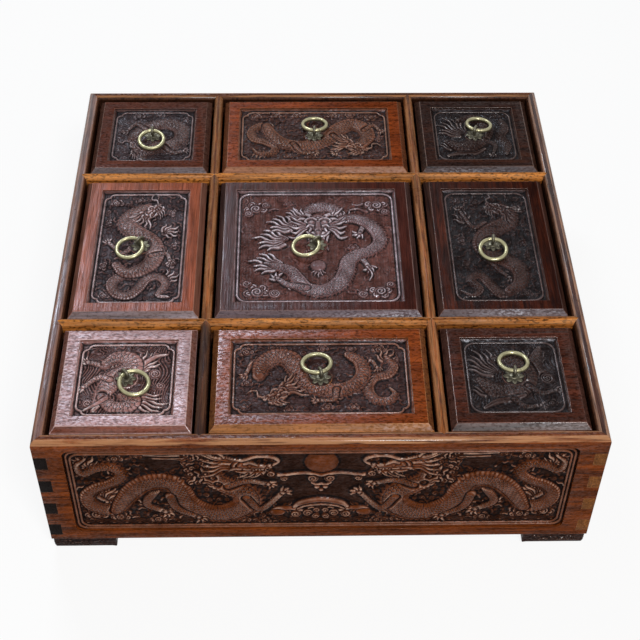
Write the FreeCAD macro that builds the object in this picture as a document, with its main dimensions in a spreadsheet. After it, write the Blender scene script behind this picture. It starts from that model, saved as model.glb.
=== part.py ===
import FreeCAD
import Part
import math
import os
import Sketcher

# Nine-lid treasure box: a square carved box on four bracket feet. Its finger-jointed boards
# and crossed dividers make nine wells, and each well has a lift-off lid with a ring pull.
# Frame: millimetres, +Z up, origin on the floor under the box's centre, carved front at -Y.

os.makedirs("parts", exist_ok=True)
document = FreeCAD.newDocument("treasure_box")

# Driving sizes, in millimetres, degrees or counts
DRIVING = {
    "corner_well_width": 90.0,
    "centre_well_width": 141.0,
    "board_thickness": 8.0,
    "board_height": 99.5,
    "divider_thickness": 6.5,
    "rim_outer_round": 4.0,
    "foot_height": 10.5,
    "foot_length": 42.0,
    "foot_thickness": 10.0,
    "foot_curve": 3.5,
    "foot_round": 2.5,
    "top_shoulder": 14.5,
    "bottom_shoulder": 4.5,
    "side_fingers": 4,
    "panel_rise": 6.0,
    "panel_thickness": 5.0,
    "panel_tongue": 3.0,
    "panel_clearance": 0.2,
    "lap_clearance": 0.05,
    "board_field_side": 17.5,
    "board_field_top": 9.0,
    "board_field_bottom": 8.0,
    "board_field_depth": 2.5,
    "board_field_corner": 4.5,
    "board_relief": 1.4,
    "sun_relief": 0.9,
    "lid_drop": 0.5,
    "lid_thickness": 9.0,
    "lid_gap": 2.0,
    "lid_chamfer": 3.6,
    "lid_border": 11.5,
    "field_depth": 3.0,
    "boss_height": 0.8,
    "boss_margin": 0.4,
    "cleat_width": 4.0,
    "cleat_height": 6.0,
    "seat_gap": 0.1,
    "rosette_radius": 7.0,
    "rosette_lobe": 2.2,
    "rosette_rim": 0.6,
    "rosette_height": 1.2,
    "rosette_lobes": 8,
    "ring_diameter": 21.0,
    "ring_wire": 3.0,
    "ring_tilt": 8.5,
    "eye_wire": 2.0,
    "eye_clearance": 0.25,
    "eye_seat": 0.05,
    "pin_hole_clearance": 0.2,
    "pin_leg_wire": 1.4,
    "pin_leg_reach": 8.0,
}

# The way each ring points from its eye, in degrees from +X towards +Y
RING_DIRECTIONS = {
    "back_left": -92.0,
    "back_middle": 88.0,
    "back_right": 66.0,
    "middle_left": -140.0,
    "centre": -150.0,
    "middle_right": -95.0,
    "front_left": -48.0,
    "front_middle": 105.0,
    "front_right": 88.0,
}

# The main lines of the carving on each rim board: for each point of a line, its place across and up
# and its half width, as shares of the field's half width, half height and half height. Each dragon
# faces the middle, and what is on the left is repeated on the right.
BOARD_CARVING = {
    "tail": (
        (-0.96, 0.6, 0.04), (-0.93, 0.43, 0.05), (-0.876, 0.55, 0.055), (-0.82, 0.58, 0.06),
        (-0.785, 0.41, 0.06), (-0.823, 0.22, 0.06), (-0.89, 0.095, 0.065), (-0.935, -0.1, 0.07),
        (-0.93, -0.34, 0.07), (-0.876, -0.485, 0.07),
    ),
    "trunk": (
        (-0.822, -0.46, 0.08), (-0.79, -0.23, 0.1), (-0.749, 0.024, 0.11), (-0.698, 0.18, 0.115),
        (-0.635, 0.245, 0.12), (-0.578, 0.16, 0.12), (-0.552, -0.048, 0.115), (-0.533, -0.267, 0.115),
        (-0.489, -0.461, 0.12), (-0.425, -0.57, 0.13), (-0.356, -0.53, 0.135), (-0.31, -0.339, 0.13),
        (-0.316, -0.11, 0.12), (-0.362, 0.048, 0.105), (-0.419, 0.2, 0.09), (-0.432, 0.36, 0.08),
    ),
    "head": (
        (-0.47, 0.55, 0.12), (-0.38, 0.59, 0.17), (-0.31, 0.59, 0.18), (-0.25, 0.6, 0.13),
        (-0.2, 0.63, 0.07),
    ),
    "fore_leg": ((-0.298, -0.2, 0.05), (-0.241, -0.47, 0.045), (-0.155, -0.08, 0.035)),
    "hind_leg": ((-0.66, 0.0, 0.055), (-0.7, -0.34, 0.05), (-0.63, -0.53, 0.04)),
}
BOARD_MOUNT = (
    (-0.197, -0.6, 0.05), (-0.15, -0.47, 0.055), (-0.095, -0.36, 0.06), (-0.04, -0.29, 0.062),
    (0.0, -0.275, 0.062),
    (0.04, -0.29, 0.062), (0.095, -0.36, 0.06), (0.15, -0.47, 0.055), (0.197, -0.6, 0.05),
)
# The sun disc's height above the field's middle, and its radius, as shares of the field's half height
BOARD_SUN = (0.667, 0.24)

# How near two sizes have to be to count as the same
TOLERANCE = 1e-6


class Length:
    """A size with its value and the text of the expression that binds it to the sheet."""

    def __init__(self, value, text):
        self.value = value
        self.text = text

    def __add__(self, other):
        other = as_length(other)
        return Length(self.value + other.value, f"({self.text} + {other.text})")

    def __sub__(self, other):
        other = as_length(other)
        return Length(self.value - other.value, f"({self.text} - {other.text})")

    def __mul__(self, factor):
        factor = as_length(factor)
        return Length(self.value * factor.value, f"({self.text} * {factor.text})")

    def __truediv__(self, factor):
        factor = as_length(factor)
        return Length(self.value / factor.value, f"({self.text} / {factor.text})")

    def __neg__(self):
        return Length(-self.value, f"(0 - {self.text})")


def as_length(number):
    """A bare number is taken as a size of its own."""
    if isinstance(number, Length):
        return number
    return Length(number, repr(number))


def make_sheet():
    """The spreadsheet of driving sizes, and a dictionary of bound sizes by name."""
    sheet = document.addObject("Spreadsheet::Sheet", "Sizes")
    named = dict(DRIVING)
    for lid, angle in RING_DIRECTIONS.items():
        named[f"ring_direction_{lid}"] = angle
    for row, (name, number) in enumerate(named.items(), start=1):
        sheet.set(f"A{row}", name)
        sheet.set(f"B{row}", str(number))
        sheet.setAlias(f"B{row}", name)
    document.recompute()
    return {name: Length(float(sheet.get(name)), f"Sizes.{name}") for name in named}


size = make_sheet()

# Sizes that follow from the driving ones
inner_half = size["corner_well_width"] + size["divider_thickness"] + size["centre_well_width"] / 2
half_side = inner_half + size["board_thickness"]
divider_centre = (size["centre_well_width"] + size["divider_thickness"]) / 2
well_centre = inner_half - size["corner_well_width"] / 2
rim_height = size["foot_height"] + size["board_height"]
lid_top = rim_height - size["lid_drop"]
lid_base = lid_top - size["lid_thickness"]
panel_base = size["foot_height"] + size["panel_rise"]
panel_top = panel_base + size["panel_thickness"]
finger_height = (
    (size["board_height"] - size["top_shoulder"] - size["bottom_shoulder"])
    / (size["side_fingers"] * 2 - 1)
)
inner_round = size["divider_thickness"] / 2
divider_height = rim_height - panel_top
lap_height = panel_top + (divider_height - inner_round) / 2
board_field_bottom = size["foot_height"] + size["board_field_bottom"]
board_field_top = rim_height - size["board_field_top"]
board_field_middle = (board_field_bottom + board_field_top) / 2
board_field_half_height = (board_field_top - board_field_bottom) / 2
board_field_half_width = half_side - size["board_field_side"]
ring_radius = (size["ring_diameter"] - size["ring_wire"]) / 2
eye_radius = size["ring_wire"] / 2 + size["eye_clearance"] + size["eye_wire"] / 2
boss_top = lid_top - size["field_depth"] + size["boss_height"]
rosette_top = boss_top + size["rosette_height"]
eye_height = rosette_top + size["eye_seat"] + eye_radius + size["eye_wire"] / 2
pin_hole_radius = size["eye_wire"] / 2 + size["pin_hole_clearance"]

nodes = []


def keep(label, piece):
    """Gives a finished piece its name, and lists it for export."""
    piece.Label = label
    nodes.append(piece)
    return piece


def bind(piece, **sizes):
    """Binds a piece's properties to sizes; a double underscore in a name stands for a dot."""
    for name, length in sizes.items():
        piece.setExpression(name.replace("__", "."), as_length(length).text)


def place(piece, across, along, up, turn=0.0):
    """Binds a piece's place, after turning it about Z by a fixed angle."""
    piece.Placement = FreeCAD.Placement(FreeCAD.Vector(), FreeCAD.Rotation(FreeCAD.Vector(0, 0, 1), turn))
    bind(piece, Placement__Base__x=across, Placement__Base__y=along, Placement__Base__z=up)
    return piece


def make_body(name):
    return document.addObject("PartDesign::Body", name)


def origin_feature(body, role):
    """One of the body's own origin planes or axes."""
    return next(feature for feature in body.Origin.OriginFeatures if feature.Role == role)


def make_sketch(body, role, lift=0.0):
    """A sketch on one of the body's origin planes, lifted along the plane's normal."""
    sketch = body.newObject("Sketcher::SketchObject", f"{body.Name}_sketch")
    sketch.AttachmentSupport = [(origin_feature(body, role), "")]
    sketch.MapMode = "FlatFace"
    bind(sketch, AttachmentOffset__Base__z=lift)
    return sketch


def pin_point(sketch, geometry, position, point):
    """Holds a sketch point at two sizes from the sketch's origin."""
    for kind, length in zip(("DistanceX", "DistanceY"), point):
        length = as_length(length)
        index = sketch.addConstraint(Sketcher.Constraint(kind, -1, 1, geometry, position, length.value))
        sketch.setExpression(f"Constraints[{index}]", length.text)


def vector(point):
    return FreeCAD.Vector(as_length(point[0]).value, as_length(point[1]).value, 0)


def draw_outline(sketch, points, centres=None):
    """A closed outline through points; centres gives the arc centre that follows a point."""
    centres = centres or {}
    edges = []
    for index, start in enumerate(points):
        end = points[(index + 1) % len(points)]
        if index in centres:
            centre = vector(centres[index])
            first = vector(start) - centre
            last = vector(end) - centre
            start_angle = math.atan2(first.y, first.x)
            end_angle = math.atan2(last.y, last.x)
            circle = Part.Circle(centre, FreeCAD.Vector(0, 0, 1), first.Length)
            edges.append(sketch.addGeometry(Part.ArcOfCircle(circle, start_angle, end_angle), False))
        else:
            edges.append(sketch.addGeometry(Part.LineSegment(vector(start), vector(end)), False))
    for index, edge in enumerate(edges):
        following = edges[(index + 1) % len(edges)]
        sketch.addConstraint(Sketcher.Constraint("Coincident", edge, 2, following, 1))
    for index, edge in enumerate(edges):
        pin_point(sketch, edge, 1, points[index])
        if index in centres:
            height = as_length(centres[index][1])
            held = sketch.addConstraint(Sketcher.Constraint("DistanceY", -1, 1, edge, 3, height.value))
            sketch.setExpression(f"Constraints[{held}]", height.text)


def draw_rectangle(sketch, low, high):
    draw_outline(sketch, [low, (high[0], low[1]), high, (low[0], high[1])])


def draw_circle(sketch, centre, radius):
    radius = as_length(radius)
    circle = sketch.addGeometry(Part.Circle(vector(centre), FreeCAD.Vector(0, 0, 1), radius.value), False)
    held = sketch.addConstraint(Sketcher.Constraint("Radius", circle, radius.value))
    sketch.setExpression(f"Constraints[{held}]", radius.text)
    pin_point(sketch, circle, 3, centre)


def pad(body, sketch, length, symmetric=False, reverse=False):
    feature = body.newObject("PartDesign::Pad", f"{body.Name}_pad")
    feature.Profile = sketch
    bind(feature, Length=length)
    feature.SideType = "Symmetric" if symmetric else "One side"
    feature.Reversed = reverse
    document.recompute()
    return feature


def pocket(body, sketch, length=None, symmetric=False, reverse=False):
    """Cuts a sketch into the body, right through unless a depth is given."""
    before = body.Shape.Volume
    feature = body.newObject("PartDesign::Pocket", f"{body.Name}_pocket")
    feature.Profile = sketch
    if length is None:
        feature.Type = "ThroughAll"
        symmetric = True
    else:
        bind(feature, Length=length)
    feature.SideType = "Symmetric" if symmetric else "One side"
    feature.Reversed = reverse
    document.recompute()
    if body.Shape.Volume >= before - TOLERANCE:
        raise RuntimeError(f"{feature.Name} cuts nothing")
    return feature


def repeat_up(body, feature, step, count):
    """Repeats a feature along Z, a step apart."""
    pattern = body.newObject("PartDesign::LinearPattern", f"{body.Name}_pattern")
    pattern.Originals = [feature]
    pattern.Direction = (origin_feature(body, "Z_Axis"), [""])
    bind(pattern, Length=step * (count - 1), Occurrences=count)
    body.Tip = pattern
    document.recompute()
    return pattern


def notch_ends(sketch, bottom, top):
    """One notch at each end of a board, as deep as the board that it meets is thick."""
    draw_rectangle(sketch, (-half_side, bottom), (-inner_half, top))
    draw_rectangle(sketch, (inner_half, bottom), (half_side, top))


def make_board(label, turn, across, along, owns_side_fingers):
    """A rim board along its own X, outer face at local Y 0, turned into its place on the box."""
    body = make_body(label)
    thickness = size["board_thickness"]
    outer = size["rim_outer_round"]
    profile = make_sketch(body, "YZ_Plane")
    draw_outline(
        profile,
        [
            (0, size["foot_height"]),
            (thickness, size["foot_height"]),
            (thickness, rim_height - inner_round),
            (thickness - inner_round, rim_height),
            (outer, rim_height),
            (0, rim_height - outer),
        ],
        {2: (thickness - inner_round, rim_height - inner_round), 4: (outer, rim_height - outer)},
    )
    pad(body, profile, half_side * 2, symmetric=True)

    mitre = make_sketch(body, "XY_Plane", rim_height)
    for side in (-1, 1):
        corner = (half_side * side, as_length(0))
        draw_outline(mitre, [corner, (half_side * side, thickness), (inner_half * side, thickness)])
    pocket(body, mitre, size["top_shoulder"])

    lowest = size["foot_height"] + size["bottom_shoulder"]
    fingers = make_sketch(body, "XZ_Plane")
    first = lowest + finger_height if owns_side_fingers else lowest
    notch_ends(fingers, first, first + finger_height)
    cut = pocket(body, fingers)
    cuts = size["side_fingers"] - 1 if owns_side_fingers else size["side_fingers"]
    repeat_up(body, cut, finger_height * 2, cuts)
    if owns_side_fingers:
        under = make_sketch(body, "XZ_Plane")
        notch_ends(under, size["foot_height"], lowest)
        pocket(body, under)

    housings = make_sketch(body, "XY_Plane", rim_height)
    for side in (-1, 1):
        middle = divider_centre * side
        draw_outline(
            housings,
            [
                (middle - inner_round, thickness),
                (middle, thickness - inner_round),
                (middle + inner_round, thickness),
            ],
        )
    pocket(body, housings, divider_height)

    groove = make_sketch(body, "XY_Plane", panel_top)
    reach = inner_half + size["panel_tongue"] + size["panel_clearance"]
    depth = thickness - size["panel_tongue"] - size["panel_clearance"]
    draw_rectangle(groove, (-reach, depth), (reach, thickness))
    pocket(body, groove, size["panel_thickness"])

    field = make_sketch(body, "XZ_Plane")
    low = (-board_field_half_width, board_field_bottom)
    high = (board_field_half_width, board_field_top)
    draw_rounded(field, low, high, size["board_field_corner"])
    pocket(body, field, size["board_field_depth"])
    raise_carving(body)

    place(body, across, along, 0, turn)
    return keep(label, body)


def raise_carving(body):
    """The carving's main forms on a board's sunk field: two dragons, the mount between them and the sun."""
    for line in BOARD_CARVING.values():
        forms = make_sketch(body, "XZ_Plane", -size["board_field_depth"])
        for side in (-1, 1):
            draw_outline(forms, band_outline([(-x * side, y, width) for x, y, width in line]))
        pad(body, forms, size["board_relief"])
    mount = make_sketch(body, "XZ_Plane", -size["board_field_depth"])
    draw_outline(mount, band_outline(BOARD_MOUNT))
    pad(body, mount, size["board_relief"])
    sun = make_sketch(body, "XZ_Plane", -size["board_field_depth"])
    height, radius = BOARD_SUN
    middle = board_field_middle + board_field_half_height * height
    draw_circle(sun, (0, middle), board_field_half_height * radius)
    pad(body, sun, size["sun_relief"])


def band_outline(line):
    """The outline round a line of the carving, its corners as bound shares of the field's size."""
    half_width, half_height = board_field_half_width.value, board_field_half_height.value
    spots = [(x * half_width, y * half_height) for x, y, width in line]
    flanks = ([], [])
    for index, (x, y) in enumerate(spots):
        before, after = spots[max(index - 1, 0)], spots[min(index + 1, len(spots) - 1)]
        run, rise = after[0] - before[0], after[1] - before[1]
        reach = line[index][2] * half_height / math.hypot(run, rise)
        for flank, sign in zip(flanks, (-1, 1)):
            flank.append((x - rise * reach * sign, y + run * reach * sign))
    return [
        (
            board_field_half_width * (x / half_width),
            board_field_middle + board_field_half_height * (y / half_height),
        )
        for x, y in flanks[0] + flanks[1][::-1]
    ]


def draw_rounded(sketch, low, high, corner):
    """A rectangle with round corners."""
    left, bottom = low
    right, top = high
    draw_outline(
        sketch,
        [
            (left + corner, bottom),
            (right - corner, bottom),
            (right, bottom + corner),
            (right, top - corner),
            (right - corner, top),
            (left + corner, top),
            (left, top - corner),
            (left, bottom + corner),
        ],
        {
            1: (right - corner, bottom + corner),
            3: (right - corner, top - corner),
            5: (left + corner, top - corner),
            7: (left + corner, bottom + corner),
        },
    )


def make_divider(label, turn, across, along, notched_above):
    """A divider along its own X, with a round top, pointed ends and two halved crossings."""
    body = make_body(label)
    half = inner_round
    profile = make_sketch(body, "YZ_Plane")
    draw_outline(
        profile,
        [(-half, panel_top), (half, panel_top), (half, rim_height - half), (-half, rim_height - half)],
        {2: (as_length(0), rim_height - half)},
    )
    pad(body, profile, (inner_half + half) * 2, symmetric=True)

    points = make_sketch(body, "XY_Plane")
    for side in (-1, 1):
        for flank in (-1, 1):
            tip = ((inner_half + half) * side, as_length(0))
            draw_outline(
                points,
                [tip, (inner_half * side, half * flank), ((inner_half + half) * side, half * flank)],
            )
    pocket(body, points)

    groins = make_sketch(body, "XY_Plane", rim_height)
    waist = size["lap_clearance"]
    for side in (-1, 1):
        middle = divider_centre * side
        left, right = middle - half - waist, middle + half + waist
        draw_outline(
            groins,
            [
                (left, -half),
                (right, -half),
                (middle + waist, 0),
                (right, half),
                (left, half),
                (middle - waist, 0),
            ],
        )
    pocket(body, groins, half)

    laps = make_sketch(body, "XZ_Plane")
    slot = half + size["lap_clearance"]
    low, high = (lap_height, rim_height - half) if notched_above else (panel_top, lap_height)
    for side in (-1, 1):
        middle = divider_centre * side
        draw_rectangle(laps, (middle - slot, low), (middle + slot, high))
    pocket(body, laps)
    place(body, across, along, 0, turn)
    return keep(label, body)


def make_foot(label, turn, across, along):
    """A bracket foot: two legs from an outer corner at the local origin, rounded underneath."""
    body = make_body(label)
    length, height, curve = size["foot_length"], size["foot_height"], size["foot_curve"]
    zero = as_length(0)
    outline = [(zero, zero), (length - curve, zero), (length, curve), (length, height), (zero, height)]
    for role in ("XZ_Plane", "YZ_Plane"):
        leg = make_sketch(body, role)
        draw_outline(leg, outline, {1: (length - curve, curve)})
        legs = pad(body, leg, size["foot_thickness"], reverse=role == "XZ_Plane")
    outer_edges = [
        f"Edge{index}"
        for index, edge in enumerate(legs.Shape.Edges, start=1)
        if abs(edge.CenterOfMass.z) < TOLERANCE
        and min(edge.CenterOfMass.x, edge.CenterOfMass.y) < TOLERANCE
    ]
    rounding = body.newObject("PartDesign::Fillet", f"{body.Name}_rounding")
    rounding.Base = (legs, outer_edges)
    bind(rounding, Radius=size["foot_round"])
    document.recompute()
    place(body, across, along, 0, turn)
    return keep(label, body)


for label, turn, across, along in (
    ("front_board", 0, 0, -half_side),
    ("right_board", 90, half_side, 0),
    ("back_board", 180, 0, half_side),
    ("left_board", 270, -half_side, 0),
):
    make_board(label, turn, across, along, label in ("right_board", "left_board"))

# The bottom panel, held in the boards' grooves
bottom_panel = document.addObject("Part::Box", "bottom_panel")
panel_half = inner_half + size["panel_tongue"]
bind(bottom_panel, Length=panel_half * 2, Width=panel_half * 2, Height=size["panel_thickness"])
keep("bottom_panel", place(bottom_panel, -panel_half, -panel_half, panel_base))

for label, turn, across, along in (
    ("front_divider", 0, 0, -divider_centre),
    ("back_divider", 0, 0, divider_centre),
    ("left_divider", 90, -divider_centre, 0),
    ("right_divider", 90, divider_centre, 0),
):
    make_divider(label, turn, across, along, label in ("left_divider", "right_divider"))

for label, turn, across, along in (
    ("front_left_foot", 0, -half_side, -half_side),
    ("front_right_foot", 90, half_side, -half_side),
    ("back_right_foot", 180, half_side, half_side),
    ("back_left_foot", 270, -half_side, half_side),
):
    make_foot(label, turn, across, along)

# Each lid's place: its label, column and row, where -1, 0 and 1 count from the left and the front
LIDS = {
    "front_left": (-1, -1),
    "front_middle": (0, -1),
    "front_right": (1, -1),
    "middle_left": (-1, 0),
    "centre": (0, 0),
    "middle_right": (1, 0),
    "back_left": (-1, 1),
    "back_middle": (0, 1),
    "back_right": (1, 1),
}


def well_width(line):
    """A well's width along one direction, from its column or row."""
    return size["centre_well_width"] if line == 0 else size["corner_well_width"]


def make_lid(name, column, row):
    """A lid block with a bevelled top, a sunk field, a boss under the rosette and a pin hole."""
    body = make_body(f"{name}_lid")
    half_x = well_width(column) / 2 - size["lid_gap"]
    half_y = well_width(row) / 2 - size["lid_gap"]
    base = make_sketch(body, "XY_Plane", lid_base)
    draw_rectangle(base, (-half_x, -half_y), (half_x, half_y))
    block = pad(body, base, size["lid_thickness"])

    bevel = body.newObject("PartDesign::Chamfer", f"{body.Name}_bevel")
    top_edges = [
        f"Edge{index}"
        for index, edge in enumerate(block.Shape.Edges, start=1)
        if abs(edge.CenterOfMass.z - lid_top.value) < TOLERANCE
    ]
    bevel.Base = (block, top_edges)
    bind(bevel, Size=size["lid_chamfer"])
    document.recompute()

    field = make_sketch(body, "XY_Plane", lid_top)
    inner_x = half_x - size["lid_border"]
    inner_y = half_y - size["lid_border"]
    draw_rectangle(field, (-inner_x, -inner_y), (inner_x, inner_y))
    pocket(body, field, size["field_depth"])

    boss = make_sketch(body, "XY_Plane", lid_top - size["field_depth"])
    draw_circle(boss, (0, 0), size["rosette_radius"] + size["boss_margin"])
    pad(body, boss, size["boss_height"])

    hole = make_sketch(body, "XY_Plane")
    draw_circle(hole, (0, 0), pin_hole_radius)
    pocket(body, hole)
    return keep(f"{name}_lid", place(body, well_centre * column, well_centre * row, 0))


def make_rosette(name, column, row):
    """A domed brass rosette with round lobes and a hole for the pin."""
    body = make_body(f"{name}_rosette")
    disc_radius = size["rosette_radius"] - size["rosette_lobe"] / 2
    rim = boss_top + size["rosette_rim"]
    profile = make_sketch(body, "XZ_Plane")
    dome_rise = rosette_top - rim
    reach = disc_radius - pin_hole_radius
    centre_height = rosette_top - (reach * reach + dome_rise * dome_rise) / (dome_rise * 2)
    draw_outline(
        profile,
        [
            (pin_hole_radius, boss_top),
            (disc_radius, boss_top),
            (disc_radius, rim),
            (pin_hole_radius, rosette_top),
        ],
        {2: (pin_hole_radius, centre_height)},
    )
    dome = body.newObject("PartDesign::Revolution", f"{body.Name}_dome")
    dome.Profile = profile
    dome.ReferenceAxis = (profile, ["V_Axis"])
    dome.Angle = 360
    document.recompute()

    lobe = make_sketch(body, "XY_Plane", boss_top)
    draw_circle(lobe, (size["rosette_radius"] - size["rosette_lobe"], 0), size["rosette_lobe"])
    petal = pad(body, lobe, size["rosette_rim"])
    petals = body.newObject("PartDesign::PolarPattern", f"{body.Name}_petals")
    petals.Originals = [petal]
    petals.Axis = (origin_feature(body, "Z_Axis"), [""])
    petals.Angle = 360
    bind(petals, Occurrences=size["rosette_lobes"])
    body.Tip = petals
    document.recompute()
    return keep(f"{name}_rosette", place(body, well_centre * column, well_centre * row, 0))


def make_pin(name, column, row):
    """A split pin: an eye above the rosette, a shank through the lid and two clenched legs."""
    direction = size[f"ring_direction_{name}"]
    eye = document.addObject("Part::Torus", f"{name}_eye")
    bind(eye, Radius1=eye_radius, Radius2=size["eye_wire"] / 2)
    eye.Placement = FreeCAD.Placement(FreeCAD.Vector(), FreeCAD.Rotation(FreeCAD.Vector(1, 0, 0), 90))
    bind(eye, Placement__Base__z=eye_height)
    leg_radius = size["pin_leg_wire"] / 2
    leg_height = lid_base - leg_radius - size["seat_gap"]
    shank = document.addObject("Part::Cylinder", f"{name}_shank")
    bind(shank, Radius=size["eye_wire"] / 2, Height=eye_height - eye_radius - leg_height)
    bind(shank, Placement__Base__z=leg_height)
    legs = document.addObject("Part::Cylinder", f"{name}_legs")
    bind(legs, Radius=leg_radius, Height=size["pin_leg_reach"] * 2)
    legs.Placement = FreeCAD.Placement(FreeCAD.Vector(), FreeCAD.Rotation(FreeCAD.Vector(0, 1, 0), 90))
    bind(legs, Placement__Base__x=-size["pin_leg_reach"], Placement__Base__z=leg_height)
    pin = document.addObject("Part::MultiFuse", f"{name}_pin")
    pin.Shapes = [eye, shank, legs]
    place(pin, well_centre * column, well_centre * row, 0, 1.0)
    # The turn above only sets the axis, and the ring's direction then gives the angle about it
    bind(pin, Placement__Rotation__Angle=direction)
    return keep(f"{name}_pin", pin)


def make_ring(name, column, row):
    """A ring pull through the pin's eye, leaning down from it to one side."""
    direction = size[f"ring_direction_{name}"]
    tilt = size["ring_tilt"]
    ring = document.addObject("Part::Torus", f"{name}_ring")
    bind(ring, Radius1=ring_radius, Radius2=size["ring_wire"] / 2)
    reach = ring_radius * cosine(tilt)
    bind(
        ring,
        Placement__Base__x=well_centre * column + reach * cosine(direction),
        Placement__Base__y=well_centre * row + reach * sine(direction),
        Placement__Base__z=eye_height - ring_radius * sine(tilt),
        Placement__Rotation__Angle=tilt,
        Placement__Rotation__Axis__x=-sine(direction),
        Placement__Rotation__Axis__y=cosine(direction),
        Placement__Rotation__Axis__z=0,
    )
    return keep(f"{name}_ring", ring)


def cosine(angle):
    return Length(math.cos(math.radians(angle.value)), f"cos({angle.text} * 1 deg)")


def sine(angle):
    return Length(math.sin(math.radians(angle.value)), f"sin({angle.text} * 1 deg)")


for name, (column, row) in LIDS.items():
    make_lid(name, column, row)
    make_rosette(name, column, row)
    make_pin(name, column, row)
    make_ring(name, column, row)


def make_cleats(label, columns):
    """The strips that carry the lids along the front and back walls of each well."""
    strips = []
    for name, (column, row) in LIDS.items():
        if column not in columns:
            continue
        length = well_width(column)
        wall = well_width(row) / 2
        for side in (-1, 1):
            strip = document.addObject("Part::Box", f"{name}_cleat")
            bind(strip, Length=length, Width=size["cleat_width"], Height=size["cleat_height"])
            low = wall * side - size["cleat_width"] * ((side + 1) // 2)
            top = lid_base - size["seat_gap"]
            place(
                strip,
                well_centre * column - length / 2,
                well_centre * row + low,
                top - size["cleat_height"],
            )
            strips.append(strip)
    group = document.addObject("Part::Compound", label)
    group.Links = strips
    return keep(label, group)


make_cleats("short_lid_cleats", (-1, 1))
make_cleats("long_lid_cleats", (0,))

document.recompute()

for piece in document.Objects:
    if "Invalid" in piece.State or "Error" in piece.State:
        raise RuntimeError(f"{piece.Label} did not build: {piece.State}")
for node in nodes:
    if node.Shape.isNull() or not node.Shape.isValid():
        raise RuntimeError(f"{node.Label} has no valid shape")
for node in nodes:
    node.Shape.exportStep(f"parts/{node.Label}.step")
print(len(nodes), "nodes written")
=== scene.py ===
import bmesh
import bpy
import math
import numpy as np
from mathutils import Matrix, Vector


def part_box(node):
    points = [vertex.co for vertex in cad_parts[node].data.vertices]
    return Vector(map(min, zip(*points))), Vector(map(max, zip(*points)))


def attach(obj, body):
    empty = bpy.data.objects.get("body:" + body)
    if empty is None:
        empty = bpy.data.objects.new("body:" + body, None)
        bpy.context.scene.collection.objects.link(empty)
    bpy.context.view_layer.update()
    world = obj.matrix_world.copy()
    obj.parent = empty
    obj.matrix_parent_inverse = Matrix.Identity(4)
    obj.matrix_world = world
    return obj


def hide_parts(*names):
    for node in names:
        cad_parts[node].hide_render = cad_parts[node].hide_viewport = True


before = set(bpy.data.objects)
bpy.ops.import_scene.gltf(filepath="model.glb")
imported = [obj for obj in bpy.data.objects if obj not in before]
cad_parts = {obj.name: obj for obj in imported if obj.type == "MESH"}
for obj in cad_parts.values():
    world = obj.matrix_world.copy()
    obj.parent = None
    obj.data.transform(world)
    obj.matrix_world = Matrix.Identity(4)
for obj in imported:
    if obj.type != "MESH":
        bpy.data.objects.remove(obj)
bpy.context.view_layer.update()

MM = 0.001
# Measures of the solids that the scene fits, in millimetres
BOARD_FIELD = (315.0, 82.5)
BOARD_FIELD_MIDDLE = 59.75
BOARD_FIELD_DEPTH = 2.5
BOARD_FACE = 175.0
LID_BORDER = 11.5
FIELD_FLOOR = 106.5
ROSETTE_SEAT = 107.3
RING_RADIUS = 9.0
RING_WIRE = 1.5
FOOT_LENGTH = 42.0
FOOT_HEIGHT = 10.5
FOOT_THICKNESS = 10.0
FOOT_CURVE = 3.5
FOOT_ROUND = 2.5
# Measures of the dressed pieces and their carving, in millimetres
LID_EASE = 0.55
BOARD_EASE = 0.35
DIVIDER_EASE = 0.25
LID_BEAD = 0.68
BOARD_BEAD = 0.7
LID_BEAD_LIFT = 0.25
BOARD_BEAD_LIFT = 0.8
RING_ROOM = 0.25
ROSETTE_CLEAR = 7.5
FIELD_PLAY = 0.1
SLAB_DEPTH = 0.3
COVE = 2.2
LID_MARGIN = 2.6
LID_CORNER = 7.0
BOARD_MARGINS = (1.9, 4.2)
BOARD_CORNER = 5.5
GROUND_LEVEL = 0.05
LID_CREST = 2.7
BOARD_CREST = 2.35
FOOT_CUT = 0.9
CURVE_GAP = 0.35
CUT_WIDTH = 1.4
CUT_SLOPE = 1.6
FIN_PITCH = 2.3
TOES = 4
# The sun between the boards' two dragons: its middle, radius, rise and level
SUN = ((0, 27.5), 10.5, 0.9, 0.6)
BLUR_REACH = 1.0
CREST_SPAN = 0.5
# The grid's step in each carving
LID_STEP = 0.4
FRONT_STEP = 0.52
SIDE_STEP = 0.62
FOOT_STEP = 0.42
# Where the rims' top faces begin, and the boards' end faces, and how near points are one, in metres
RIM_FACES = 0.109
END_FACES = 0.1745
WELD_GAP = 2e-6
PETAL_GAP = 1e-6
# The camera's yaw, pitch and roll, its place in metres and its lens in millimetres
CAMERA_TURN = (0.03067, 0.80594, 0.016245)
CAMERA_PLACE = (-0.01735, -0.6605, 0.7209)
CAMERA_LENS = 72.98
# Room light on the object, and how much of the floor is plain white to the camera
ROOM_LEVEL = 0.16
FLOOR_WHITE = 0.88


def add_object(name, data):
    thing = bpy.data.objects.new(name, data)
    bpy.context.scene.collection.objects.link(thing)
    return thing


def new_mesh(name, points, faces, edges=()):
    mesh = bpy.data.meshes.new(name)
    mesh.from_pydata(np.array(points).tolist(), edges, faces)
    return mesh


# Node trees


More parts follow.
